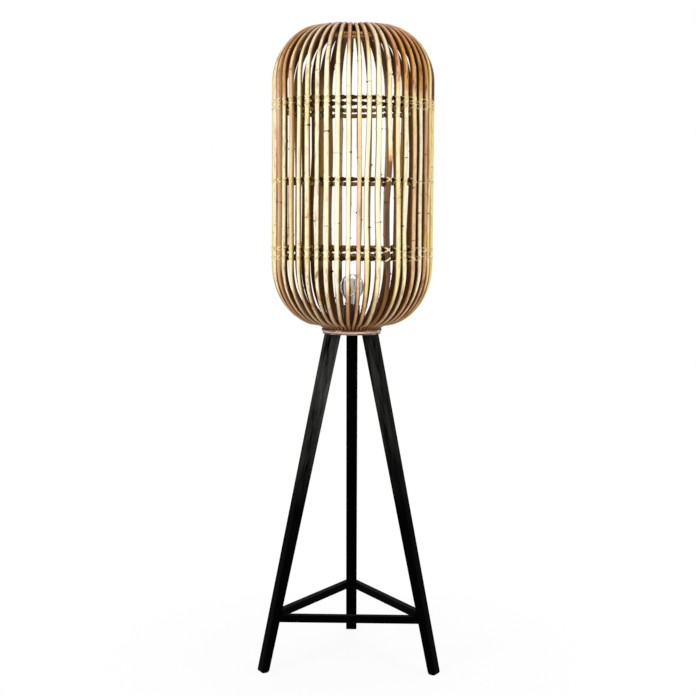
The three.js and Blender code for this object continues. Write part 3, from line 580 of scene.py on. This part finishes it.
class Course:
    """Where one cane lies: kinked at its knots, swaying a little, cut unevenly at the mouth."""

    def __init__(self, index):
        self.draw = draw = random.Random(FIRST_SEED + index)
        self.index = index
        self.own = CANE_RADIUS * (1 + CANE_SPREAD * math.sin(index * index + index))
        self.own *= OWN_SIZES.get(index, 1)
        self.angle = 2 * math.pi * (index - 0.5) / CANES
        self.length = LINE_LENGTH - draw.uniform(0, RAGGED)
        self.knots = []
        spot = draw.uniform(*FIRST_KNOTS)
        while spot < self.length - KNOT_FROM_MOUTH:
            if min(abs(spot - hoop_at) for hoop_at in HOOP_SPOTS) > KNOT_FROM_HOOP:
                self.knots.append(spot)
            spot += draw.uniform(*KNOT_SPACING)
        self.corners = [0.0] + self.knots + [self.length]
        self.bends = [0.0] + [draw.uniform(-1, 1) for _ in self.knots]
        self.bends.append(draw.uniform(-END_BEND, END_BEND))
        self.phase, self.waves = draw.uniform(0, 2 * math.pi), draw.uniform(*SWAYS)
        self.swell_phase = draw.uniform(0, 2 * math.pi)

    def lie(self, s):
        """Place on the line, radius, way round the lamp and lift off the line, at a distance.

        The outer side keeps to its line, so a swelling grows inwards."""
        place = on_line(s)
        turn = math.pi * s / self.length
        freed_foot = limited((s - HELD_AT_FOOT) / FREED_ABOVE_FOOT)
        loose = freed_foot * limited((LINE_LENGTH - s - HELD_AT_MOUTH) / FREED_BELOW_MOUTH)
        near = min([abs(s - k) for k in self.knots] or [LINE_LENGTH])
        radius = cane_radius(self.own, place)
        slack = math.pi / CANES * place.radius - radius
        part = min(bisect.bisect_right(self.corners, s) - 1, len(self.corners) - 2)
        share = (s - self.corners[part]) / (self.corners[part + 1] - self.corners[part])
        kink = self.bends[part] + (self.bends[part + 1] - self.bends[part]) * share
        wave = math.sin(self.waves * 2 * turn + self.phase)
        lean = OWN_LEANS.get(self.index, 0)
        aside = lean + (1 - abs(lean)) * (KINK_SHARE * kink + (1 - KINK_SHARE) * wave)
        swell = loose * radius * (
            UNEVEN * math.sin(3 * turn + self.swell_phase) - UNEVEN
            + KNOT_SWELL * math.exp(-(near / KNOT_REACH) ** 2))
        return place, radius + swell, slack * loose * limited(aside, -1, 1), -2 * swell

    def frame(self, s):
        """Matrix of the cane's section at a distance."""
        place, radius, aside, lift = self.lie(s)
        out, up = (1, 0) if s == 0 else (place.out, place.up)
        return frame_at(self.angle, place.radius + (radius + lift) * out,
                        place.height + (radius + lift) * up, out, up, aside, (radius, radius))


COURSES = [Course(index) for index in range(CANES)]


def shade_at(height):
    """How far round its flanks a cane takes painted shade at a height."""
    in_bowl = limited((WALL_BOTTOM - height) / BOWL_CHANGE)
    in_dome = limited((height - WALL_TOP) / DOME_CHANGE)
    return WALL_SHADE + ((BOWL_SHADE - WALL_SHADE) * in_bowl + (DOME_SHADE - WALL_SHADE) * in_dome)


def tone_at(course, height, tone, blots):
    """Tone and blots of a cane at a height, from its own and from those of picked stretches."""
    for first, last, low, high, own_tone, own_blots in OWN_TONES:
        if first <= course.index <= last:
            inside = limited(min(height - low, high - height) / TONE_FADE + 0.5)
            tone += (TONES[own_tone] - tone) * inside
            blots += (own_blots - blots) * inside
    return tone, blots


def stations(course):
    """Distances along a cane at which its sections lie, closer together at its knots."""
    count = round(course.length / STATION_STEP)
    stops = {i * course.length / count for i in range(count + 1)}
    for knot_at in course.knots:
        stops = {s for s in stops if abs(s - knot_at) > KNOT_CLEAR}
        stops |= {knot_at + step for step in KNOT_STEPS}
    return sorted(stops)


def cane(bm, course, layers):
    """One cane with its tones, knots and the stubs of cut side shoots."""
    draw = course.draw
    stops = stations(course)
    base = TONES[draw.choice(COMMON_TONES)] + draw.uniform(-TONE_SPREAD, TONE_SPREAD)
    base_blots = draw.choice(BLOT_SHARES)
    seed = draw.uniform(*(PALE_SEEDS if course.index in LIT_INSIDE else OTHER_SEEDS))
    strength = {knot_at: draw.choice(KNOT_STRENGTHS) for knot_at in course.knots}
    facts = []
    for s in stops:
        place, radius, _, _ = course.lie(s)
        tone, blots = tone_at(course, place.height, base, base_blots)
        darks = [strength[k] * math.exp(-((s - k) / MARK_REACH) ** 2) for k in course.knots]
        tint = Vector((tone, blots, seed))
        facts.append((s, radius, tint, max(darks or [0]), shade_at(place.height)))

    def mark(vert, station, flat):
        s, radius, tint, dark, shade = facts[station]
        # Painted shade: lit on the outer side, shaded on the flanks and inner side, more in bowl and
        # dome
        vert[layers["lit_facing"]] = flat.x - shade
        vert[layers["place"]] = Vector((flat.x * radius, flat.y * radius, s)) * MM
        vert[layers["tint"]] = tint
        darkest = MARK_TURN * seed + s
        vert[layers["knot"]] = dark * limited(
            MARK_ASIDE + flat.x * math.cos(darkest) + flat.y * math.sin(darkest))

    for cap in sweep(bm, [course.frame(s) for s in stops], CANE_SIDES, mark):
        cap.material_index = 1
        for edge in cap.edges:
            edge.smooth = False
    for knot_at in course.knots:
        if draw.random() < SCAR_SHARE:
            twig_scar(bm, course, knot_at, seed, layers)


def twig_scar(bm, course, s, seed, layers):
    """Stub left on a knot where a side shoot was cut off."""
    draw = course.draw
    radius = course.lie(s)[1]
    side = draw.choice([-1, 1]) * draw.uniform(*SCAR_TURNS)
    lean = Matrix.Rotation(side, 4, "Z") @ Matrix.Rotation(math.pi / 2, 4, "Y")
    unit = Matrix.Diagonal((1 / radius, 1 / radius, 1, 1))
    wide = draw.uniform(*SCAR_RADII)
    reach = radius + SCAR_PROUD
    stub = bmesh.ops.create_cone(
        bm, cap_ends=True, segments=SCAR_SIDES, radius1=wide, radius2=SCAR_TAPER * wide,
        depth=reach, matrix=course.frame(s) @ unit @ lean @ Matrix.Translation((0, 0, reach / 2)))
    for vert in stub["verts"]:
        vert[layers["place"]] = Vector((radius, 0, s)) * MM
        vert[layers["tint"]] = Vector((TONES["brown"], 0, seed))
        vert[layers["knot"]] = draw.uniform(*SCAR_DARKS)
        # The stub takes no painted shade
        vert[layers["lit_facing"]] = 1


def marked_bmesh():
    """Empty bmesh with the layers that the rattan materials read."""
    bm = bmesh.new()
    layers = {
        "place": bm.verts.layers.float_vector.new("place"),
        "tint": bm.verts.layers.float_vector.new("tint"),
        "knot": bm.verts.layers.float.new("knot"),
        "lit_facing": bm.verts.layers.float.new("lit_facing")}
    return bm, layers


for pair in range(CANES // 2):
    bm, layers = marked_bmesh()
    cane(bm, COURSES[2 * pair], layers)
    cane(bm, COURSES[2 * pair + 1], layers)
    piece(f"canes_{pair + 1:02d}", bm, [RATTAN, RATTAN_END],
          [f"cane_pair_{pair + 1:02d}"])


# Hoops and lashings

# Winding of the hoops: length of one turn of the strip, how its section swells along that turn,
# its number of sides, how far its tones stray and how much painted light makes it paler on the
# lamp's inner side
WRAP_PITCH = 5.2
WRAP_SIZES = (0.9, 1.0, 1.0)
WRAP_SIDES = 10
WRAP_TONES = (-0.15, 0.3)
WRAP_INNER_LIGHT = 0.5
# How much thicker the lashings' ends make the hoops' winding in the gaps between the canes, and
# the mean and the swing of that from gap to gap
KNOT_GROWTH = 0.42
GROWTH_MEAN, GROWTH_SWING = 0.5, 0.8


def wound_ring(bm, layers, draw, radius, level, half_width, half_height, growth=0):
    """Ring wound all along with a strip, so that it is ribbed like a rope."""
    winds = round(2 * math.pi * radius / WRAP_PITCH)
    per_wind = len(WRAP_SIZES)
    count = per_wind * winds
    frames = []
    for i in range(count):
        angle = 2 * math.pi * i / count
        from_cane = CANES * (angle + math.pi / CANES)
        grown = growth * limited(GROWTH_MEAN - GROWTH_SWING * math.cos(from_cane))
        size = WRAP_SIZES[i % per_wind] * (1 + grown)
        frames.append(ring_frame(angle, radius, level, size * half_width, size * half_height))
    tones = [draw.uniform(*WRAP_TONES) for _ in range(winds)]

    def mark(vert, station, flat):
        # Painted light: the strip is paler on its side towards the lamp's axis
        painted_light = WRAP_INNER_LIGHT * limited(-2 * flat.x)
        vert[layers["tint"]] = Vector((tones[station // per_wind % winds] + painted_light, 0, 0))

    sweep(bm, frames, WRAP_SIDES, mark, closed=True)


def wound_hoop(name, height):
    """Hoop that lies against the inner side of the canes."""
    place = on_line(height, "height")
    reach = HOOP_RADIUS + HOOP_GAP
    bm, layers = marked_bmesh()
    wound_ring(bm, layers, random.Random(name), place.radius - reach * place.out,
               place.height - reach * place.up, HOOP_RADIUS, HOOP_RADIUS, KNOT_GROWTH)
    return piece(f"{name}_wound", bm, [HOOP_WRAP], [name])


# Ring at the mouth: its bore and height, and the lip on it, which is sunk into it a little
MOUTH_BORE = 50
MOUTH_RING_HEIGHT = 9
LIP_WIDTH, LIP_HEIGHT, LIP_SUNK, LIP_SET_OUT = 7.6, 8.4, 1, 0.1


def mouth_ring():
    """Ring under the cane ends with a lip that they butt against."""
    bm, layers = marked_bmesh()
    draw = random.Random("mouth")
    shelf = WALL_TOP + UPPER_DOME["rise"] - HOOP_GAP
    half_width = (UPPER_DOME["centre"] - MOUTH_BORE) / 2
    wound_ring(bm, layers, draw, MOUTH_BORE + half_width, shelf - MOUTH_RING_HEIGHT / 2,
               half_width, MOUTH_RING_HEIGHT / 2)
    wound_ring(bm, layers, draw, MOUTH_BORE + LIP_SET_OUT + LIP_WIDTH / 2,
               shelf - LIP_SUNK + LIP_HEIGHT / 2, LIP_WIDTH / 2, LIP_HEIGHT / 2)
    return piece("mouth_ring_wound", bm, [HOOP_WRAP], ["top_hoop"])


# Lashing strips: their size, how far they lie off the cane and the hoop, how much they spread
# apart beyond the hoop, how far they reach round behind, and their number of sections
STRIP_WIDTH = 3.2
STRIP_THICKNESS = 0.7
STRIP_GAP = 0.1
STRIP_SPREAD = 0.6
STRIP_BEHIND = 0.9
STRIP_STATIONS = 12
# A strip's four corners lie on a circle, and this brings them to half its size each way
CORNER = 0.707
# How pale the strips are, and how far they lie above or below the hoop
STRIP_TONES = (0.35, 0.85)
STRIP_SHIFT = 0.8
# A strip takes painted shade where it passes behind the hoop: its mean tone and the swing of it
TONE_MEAN, TONE_SWING = 0.2, 1.4
# Ways in which a cane is tied: two crossed strips, twice as often as a single one
TIES = [(-1, 1), (-1, 1), (1,), (-1,)]


def lashing(bm, layers, course, s, tilt, tone, shift):
    """Strip tied round a cane and a hoop: it crosses the cane aslant and passes behind the hoop."""
    place, radius, aside, lift = course.lie(s)
    grown = STRIP_THICKNESS / 2 + STRIP_GAP
    reach = HOOP_RADIUS + HOOP_GAP
    spots = []
    for i in range(STRIP_STATIONS):
        a = 2 * math.pi * i / STRIP_STATIONS
        if math.cos(a) > 0:
            x, y = radius + lift + (radius + grown) * math.cos(a), (radius + grown) * math.sin(a)
        else:
            x = -reach + (HOOP_RADIUS + grown) * math.cos(a)
            y = radius * STRIP_BEHIND * math.sin(a)
        z = tilt * (HOOP_RADIUS + grown + STRIP_SPREAD) * math.sin(a) + shift
        spots.append(Vector((x, y, z)))
    base = frame_at(course.angle, place.radius, place.height, place.out, place.up, aside)
    frames = []
    for i in range(STRIP_STATIONS):
        before, here, after = (spots[(i + k) % STRIP_STATIONS] for k in (-1, 0, 1))
        run = (after - before).normalized()
        flat = Vector((here.x - (radius - reach) / 2, here.y, 0)).normalized()
        wide = run.cross(flat).normalized()
        flat = wide.cross(run)
        frames.append(base @ matrix_of(
            flat * STRIP_THICKNESS * CORNER, wide * STRIP_WIDTH * CORNER, run, here))

    def mark(vert, station, flat):
        around = 2 * math.pi * station / STRIP_STATIONS
        # Painted shade where the strip passes behind the hoop
        vert[layers["tint"]] = tone * limited(TONE_MEAN + TONE_SWING * math.cos(around))

    sweep(bm, frames, 4, mark, closed=True, turn=math.pi / 4)


def lashings(name, height):
    """All the lashings of one hoop, two crossed strips to a cane or a single one."""
    bm, layers = marked_bmesh()
    draw = random.Random(name + "_lashings")
    s = on_line(height, "height").distance
    for course in COURSES:
        for tilt in draw.choice(TIES):
            tone = Vector((draw.uniform(*STRIP_TONES), 0, 0))
            shift = draw.uniform(-STRIP_SHIFT, STRIP_SHIFT)
            lashing(bm, layers, course, s, tilt, tone, shift)
    return piece(f"{name}_lashings", bm, [LASHING], ())


for hoop_name, hoop_height in HOOPS.items():
    wound_hoop(hoop_name, hoop_height)
    lashings(hoop_name, hoop_height)
mouth_ring()


# Collar

BAND_HEIGHT = 12
BAND_THICKNESS = 2.2
# Strips of the binding in millimetres: height above the collar's foot, half width, half height
BAND_STRIPS = [(2.1, 0.9, 2.1), (6.3, 1.25, 2.1), (10.1, 0.9, 1.9)]
# Tones of the three strips, the middle one pale as a painted highlight, how far patches stray from
# them, how many sections a patch is long and how far the patches of one strip are turned from
# those of the next
BAND_TONES = (0.2, 0.66, 0.3)
BAND_PATCHES = (-0.22, 0.26)
PATCH_LENGTH = 4
PATCH_TURN = 7
# How much the binding follows the round of each cane under it
BAND_RIPPLE = 0.2


def collar_binding():
    """Three strips wound round the collar, the middle one proud of the others."""
    bm, layers = marked_bmesh()
    draw = random.Random("binding")
    patches = [draw.uniform(*BAND_PATCHES) for _ in range(CANES // 2)]
    low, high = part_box("collar_band")
    reach = (high.x - low.x) / 2 / MM - COLLAR_FLARE * BAND_HEIGHT - BAND_THICKNESS
    for number, (above, half_width, half_height) in enumerate(BAND_STRIPS):
        height, inner = COLLAR_BOTTOM + above, reach + COLLAR_FLARE * above
        frames = []
        for i in range(2 * CANES):
            a = math.pi * i / CANES
            ripple = BAND_RIPPLE * math.cos(CANES * (a + math.pi / CANES))
            frames.append(ring_frame(
                a, inner + half_width + ripple, height, half_width, half_height))

        def mark(vert, station, flat, number=number):
            patch = patches[(station // PATCH_LENGTH + PATCH_TURN * number) % len(patches)]
            vert[layers["tint"]] = Vector((BAND_TONES[number] + patch, 0, 0))

        sweep(bm, frames, WRAP_SIDES, mark, closed=True)
    return piece("collar_binding", bm, [BINDING], ["collar_band"])


collar_binding()


# Lampholder and bulb

# Outlines of turned pieces are lists of (radius, height), turned in this many steps
ROUND = 72
# The lampholder: radius outside and inside, of the tube's hole and of the hub; the body's foot
HOLDER_RADIUS, HOLDER_INNER, TUBE_HOLE, HUB_RADIUS = 20, 18, 5.3, 9.5
BODY_FOOT = 20.3
# Its grooves: depth on the cap and on the body, height and height of the slopes
CAP_GROOVE, BODY_GROOVE, GROOVE_HEIGHT, GROOVE_SLOPE = 0.6, 0.5, 1.4, 0.4
# Rolled threads: steps to a turn, and how far apart these lie in the shell and on the bulb's cap
THREAD_STEPS = 8
SHELL_STEP, BULB_STEP = 0.45, 0.45
SHELL_INNER, SHELL_OUTER, SHELL_STATIONS = 13.45, 14.05, 61
SHELL_WAVE, BULB_WAVE = 0.25, 0.3
# The bulb's cap: height, outer radius of its thread, where that begins, and its sections
CAP_HEIGHT, CAP_RADIUS, CAP_THREAD_FROM, CAP_STATIONS = 26, 13.15, 6, 37
# Heights between which the cap is black glass
CAP_GLASS_FROM, CAP_GLASS_TO = 1.9, 5.6
# How deep the cap's floor and the glass reach down into it
CAP_FLOOR_DEPTH, NECK_DEPTH = 6.3, 6
# The glass: radius of its neck, its greatest radius and where that is, its thickness
NECK_RADIUS, GLASS_RADIUS, GLASS_MIDDLE, GLASS_THICKNESS = 12.05, 30, 75, 1


def turned(name, base, outline, finish, replaced, body="lamp", steps=ROUND, hard=35):
    """Turned piece: its outline above a base, and the angle in degrees that stays crisp."""
    bm = bmesh.new()
    spun(bm, [(r, base + z) for r, z in outline], steps)
    bmesh.ops.recalc_face_normals(bm, faces=bm.faces)
    crisp(bm, hard)
    return piece(name, bm, [finish], [replaced], body)


def thread_wave(i, half_depth):
    """How far a rolled thread stands out at one of its steps."""
    return half_depth * (1 + math.cos(2 * math.pi * i / THREAD_STEPS))


def bezier(a, b, c, d, steps):
    """Points on a curve from a to d that is drawn towards b and c."""
    a, b, c, d = map(Vector, (a, b, c, d))
    ends = []
    for i in range(steps + 1):
        t = i / steps
        ab, bc, cd = a.lerp(b, t), b.lerp(c, t), c.lerp(d, t)
        ends.append(tuple(ab.lerp(bc, t).lerp(bc.lerp(cd, t), t)))
    return ends


HOLDER_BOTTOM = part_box("holder_cap")[0].z / MM
BULB_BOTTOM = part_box("bulb_cap")[0].z / MM
CAP_TOP = BULB_BOTTOM + CAP_HEIGHT


def groove(foot, depth):
    """Groove round the lampholder, from its foot upwards."""
    floor, top = HOLDER_RADIUS - depth, foot + GROOVE_HEIGHT
    return [(HOLDER_RADIUS, foot), (floor, foot + GROOVE_SLOPE), (floor, top - GROOVE_SLOPE),
            (HOLDER_RADIUS, top)]


def lampholder():
    """Cap with a flared shoulder, body with a rounded mouth, and the thread's shell in it."""
    shoulder = arc((HUB_RADIUS, 10), (HOLDER_RADIUS - HUB_RADIUS, 7.5), -math.pi / 2, 0, 8)
    rim = [(HOLDER_RADIUS, 20), (HOLDER_INNER, 20), (HOLDER_INNER, 11.7)]
    turned("lampholder_cap", HOLDER_BOTTOM,
           [(TUBE_HOLE, 0), (9.0, 0), (HUB_RADIUS, 0.5), *shoulder, *groove(17, CAP_GROOVE), *rim,
            (HUB_RADIUS, 8), (TUBE_HOLE, 8)],
           PHENOLIC, "holder_cap")
    mouth = [(HOLDER_RADIUS, 36.5), (19.6, 37.6), (18.9, 38), (HOLDER_INNER, 37.7)]
    turned("lampholder_body", HOLDER_BOTTOM + BODY_FOOT,
           [(HOLDER_INNER, 0), (HOLDER_RADIUS, 0), *groove(15.1, BODY_GROOVE), *mouth],
           PHENOLIC, "holder_body")
    sides = [[(radius + thread_wave(i, SHELL_WAVE), i * SHELL_STEP) for i in range(SHELL_STATIONS)]
             for radius in (SHELL_INNER, SHELL_OUTER)]
    turned("lampholder_thread", SHELL_LOW.z / MM, sides[0] + sides[1][::-1],
           BRASS, "screw_shell", hard=80)


def bulb_cap():
    """Screw cap: solder tip, black glass ring, rolled thread and a plain skirt."""
    tip = [(0, 0), (2.6, 0.25), (4.2, 0.9), (4.5, 1.6), (4.5, 2), (11.9, 5.7)]
    thread = [(CAP_RADIUS - thread_wave(i, BULB_WAVE), CAP_THREAD_FROM + i * BULB_STEP)
              for i in range(CAP_STATIONS)]
    skirt = [(12.9, CAP_HEIGHT - 3), (13.1, CAP_HEIGHT - 0.2), (12.35, CAP_HEIGHT),
             (12.35, CAP_HEIGHT - CAP_FLOOR_DEPTH), (0, CAP_HEIGHT - CAP_FLOOR_DEPTH)]
    bm = bmesh.new()
    spun(bm, [(r, BULB_BOTTOM + z) for r, z in tip + thread + skirt], ROUND, closed=False)
    bmesh.ops.recalc_face_normals(bm, faces=bm.faces)
    for face in bm.faces:
        level = face.calc_center_median().z / MM - BULB_BOTTOM
        if CAP_GLASS_FROM < level < CAP_GLASS_TO:
            face.material_index = 1
    crisp(bm, 60)
    return piece("bulb_screw_cap", bm, [NICKEL, CAP_GLASS], ["bulb_cap"], "bulb")


def glass_outline(inset):
    """Neck, shoulder and round top of the bulb, set in by a depth."""
    neck, wide = NECK_RADIUS - inset, GLASS_RADIUS - inset
    middle = BULB_BOTTOM + GLASS_MIDDLE
    swell = (CAP_TOP + middle) / 2
    shoulder = bezier((neck, CAP_TOP), (neck, swell), (wide, swell), (wide, middle), 16)
    top = arc((0, middle), (wide, wide), 0, math.pi / 2, 14)
    return [(neck, CAP_TOP - NECK_DEPTH), *shoulder, *top]


lampholder()
bulb_cap()
turned("bulb_envelope", 0, glass_outline(0) + glass_outline(GLASS_THICKNESS)[::-1], GLASS,
       "bulb_glass", "bulb", hard=60)
# The stem flares at its foot and ends in a button
STEM = [(0, 0), (10.5, 0), (10.3, 1), *bezier((8.5, 2), (4, 6), (2.2, 9), (2.2, 16), 8),
        (2.2, 31.5), (8.4, 32), (8.9, 33), (8.4, 34), (0, 34)]
turned("bulb_stem_drawn", CAP_TOP - NECK_DEPTH, STEM, GLASS, "bulb_stem", "bulb",
       steps=40)


# Finishes of the CAD nodes

def dress(name, finish):
    """A CAD node keeps its shape and takes a finish."""
    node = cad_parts[name]
    node.data.materials.clear()
    node.data.materials.append(finish)


BLACK = {"Specular IOR Level": 0.008}
# The legs in millimetres: how far their feet and tops are from the middle, and their height
FOOT_CIRCLE, TOP_CIRCLE, LEG_HEIGHT = 242.5, 53.4, 826
# Greys of the painted highlight on each leg: most on the left leg, which faces the key light, least
# on the rear one
LEG_HIGHLIGHTS = {"rear": "060606", "left": "444442", "right": "30302e"}
for side, turn in {"rear": 90, "left": 210, "right": 330}.items():
    lean = FOOT_CIRCLE - TOP_CIRCLE
    away = math.radians(turn)
    run = (-lean * math.cos(away), -lean * math.sin(away), LEG_HEIGHT)
    paint = material(f"black_paint_brushed_leg_{side}", BLACK, painted(run, LEG_HIGHLIGHTS[side]))
    dress(f"leg_{side}", paint)
    dress(f"head_screw_{side}", STEEL)
for side, turn in {"front": 0, "right": 120, "left": 240}.items():
    run = (math.cos(math.radians(turn)), math.sin(math.radians(turn)), 0)
    dress(f"stretcher_{side}", material(f"black_paint_brushed_bar_{side}", BLACK, painted(run)))
    for end in "ab":
        dress(f"dowel_{side}_{end}", DOWEL_WOOD)
dress("head_disc", material("black_paint_brushed_disc", BLACK, painted((1, 0, 0))))
SEAT_WRAP = material("rattan_hoop_flat_smoked", {"Roughness": 0.65},
                     speckled(("38240f", "5a3d20"), 3, (0.5, 0.7)))
dress("seat_hoop", SEAT_WRAP)
dress("threaded_tube", STEEL)
dress("tube_nut", STEEL)
dress("cord_bushing", PHENOLIC)
dress("holder_insert", CERAMIC)
dress("centre_contact", BRASS)
dress("bulb_filament", FILAMENT)


# Floor, light and camera

# The floor's half width, and the distances from the middle between which it fades to white, in
# metres; how white it is before, and how strong the light from all round is
FLOOR_REACH, FADE_FROM, FADE_FULL = 40, 0.3, 0.8
FLOOR_WHITE, ROUND_LIGHT = 0.9, 0.5


def studio_floor():
    """Pale floor that fades to the background's white away from the lamp."""
    bm = bmesh.new()
    bmesh.ops.create_grid(bm, x_segments=1, y_segments=1, size=FLOOR_REACH)
    mesh = bpy.data.meshes.new("studio_floor")
    bm.to_mesh(mesh)
    bm.free()
    floor = bpy.data.objects.new("studio_floor", mesh)
    bpy.context.scene.collection.objects.link(floor)
    made = bpy.data.materials.new("pale_studio_floor")
    made.use_nodes = True
    tree = made.node_tree
    tree.nodes.clear()
    at = add(tree, "TexCoord")
    reach = add(tree, "VectorMath", {0: at.outputs["Object"]}, operation="LENGTH")
    near = remap(tree, reach.outputs["Value"], FADE_FROM, FADE_FULL, bottom=FLOOR_WHITE,
                 interpolation_type="SMOOTHSTEP")
    path = add(tree, "LightPath")
    seen = add(tree, "Math", {0: near, 1: path.outputs["Is Camera Ray"]},
               operation="MULTIPLY")
    matt = add(tree, "BsdfDiffuse", {"Color": colour("f6f6f6")})
    white = add(tree, "Emission", {"Color": (1, 1, 1, 1), "Strength": 1})
    both = add(tree, "MixShader", {0: seen.outputs[0], 1: matt.outputs[0], 2: white.outputs[0]})
    add(tree, "OutputMaterial", {"Surface": both.outputs[0]})
    mesh.materials.append(made)


def studio_world():
    """Even light from all round; the eye, gloss and glass see plain white."""
    world = bpy.data.worlds.new("studio_white")
    bpy.context.scene.world = world
    world.use_nodes = True
    tree = world.node_tree
    tree.nodes.clear()
    path = add(tree, "LightPath")
    seen = add(tree, "Math", {0: path.outputs["Is Camera Ray"],
                              1: path.outputs["Is Transmission Ray"]}, operation="MAXIMUM")
    seen = add(tree, "Math", {0: seen.outputs[0], 1: path.outputs["Is Glossy Ray"]},
               operation="MAXIMUM")
    soft = add(tree, "Background", {"Color": (1, 1, 1, 1), "Strength": ROUND_LIGHT})
    white = add(tree, "Background", {"Color": (1, 1, 1, 1), "Strength": 1})
    both = add(tree, "MixShader", {0: seen.outputs[0], 1: soft.outputs[0], 2: white.outputs[0]})
    add(tree, "OutputWorld", {"Surface": both.outputs[0]})


def soft_box(name, place, target, size, power):
    """Square light that points at a target: metres and watts."""
    lamp = bpy.data.lights.new(name, "AREA")
    lamp.shape = "SQUARE"
    lamp.size = size
    lamp.energy = power
    made = bpy.data.objects.new(name, lamp)
    made.location = place
    made.rotation_euler = (Vector(target) - Vector(place)).to_track_quat("-Z", "Y").to_euler()
    bpy.context.scene.collection.objects.link(made)


studio_floor()
studio_world()
# Lights: place, target, width and power
soft_box("key_light", (-2.2, -2.8, 2.6), (0, 0, 1.0), 1.6, 70)
soft_box("fill_light", (2.6, -2.2, 1.6), (0, 0, 0.9), 2.0, 35)
soft_box("top_light", (0.3, 0.6, 3.6), (0, 0, 1.2), 1.6, 30)

# Camera worked out from the photograph: eye 3.3 m in front, looking down by 5 degrees
EYE = Vector((0.0602, AXIS.y - 3.3349, 1.0906))
YAW, PITCH, ROLL = 0.0207, 0.0901, 0.0064
LENS, SENSOR = 69.55, 36
camera = bpy.data.cameras.new("studio_camera")
camera.lens = LENS
camera.sensor_width = SENSOR
eye = bpy.data.objects.new("studio_camera", camera)
ahead = Vector((
    -math.sin(YAW) * math.cos(PITCH), math.cos(YAW) * math.cos(PITCH), -math.sin(PITCH)))
level = Vector((math.cos(YAW), math.sin(YAW), 0))
upward = level.cross(ahead)
right = level * math.cos(ROLL) + upward * math.sin(ROLL)
upward = right.cross(ahead)
eye.matrix_world = matrix_of(right, upward, -ahead, EYE)
bpy.context.scene.collection.objects.link(eye)
bpy.context.scene.camera = eye
bpy.context.scene.view_settings.view_transform = "Standard"
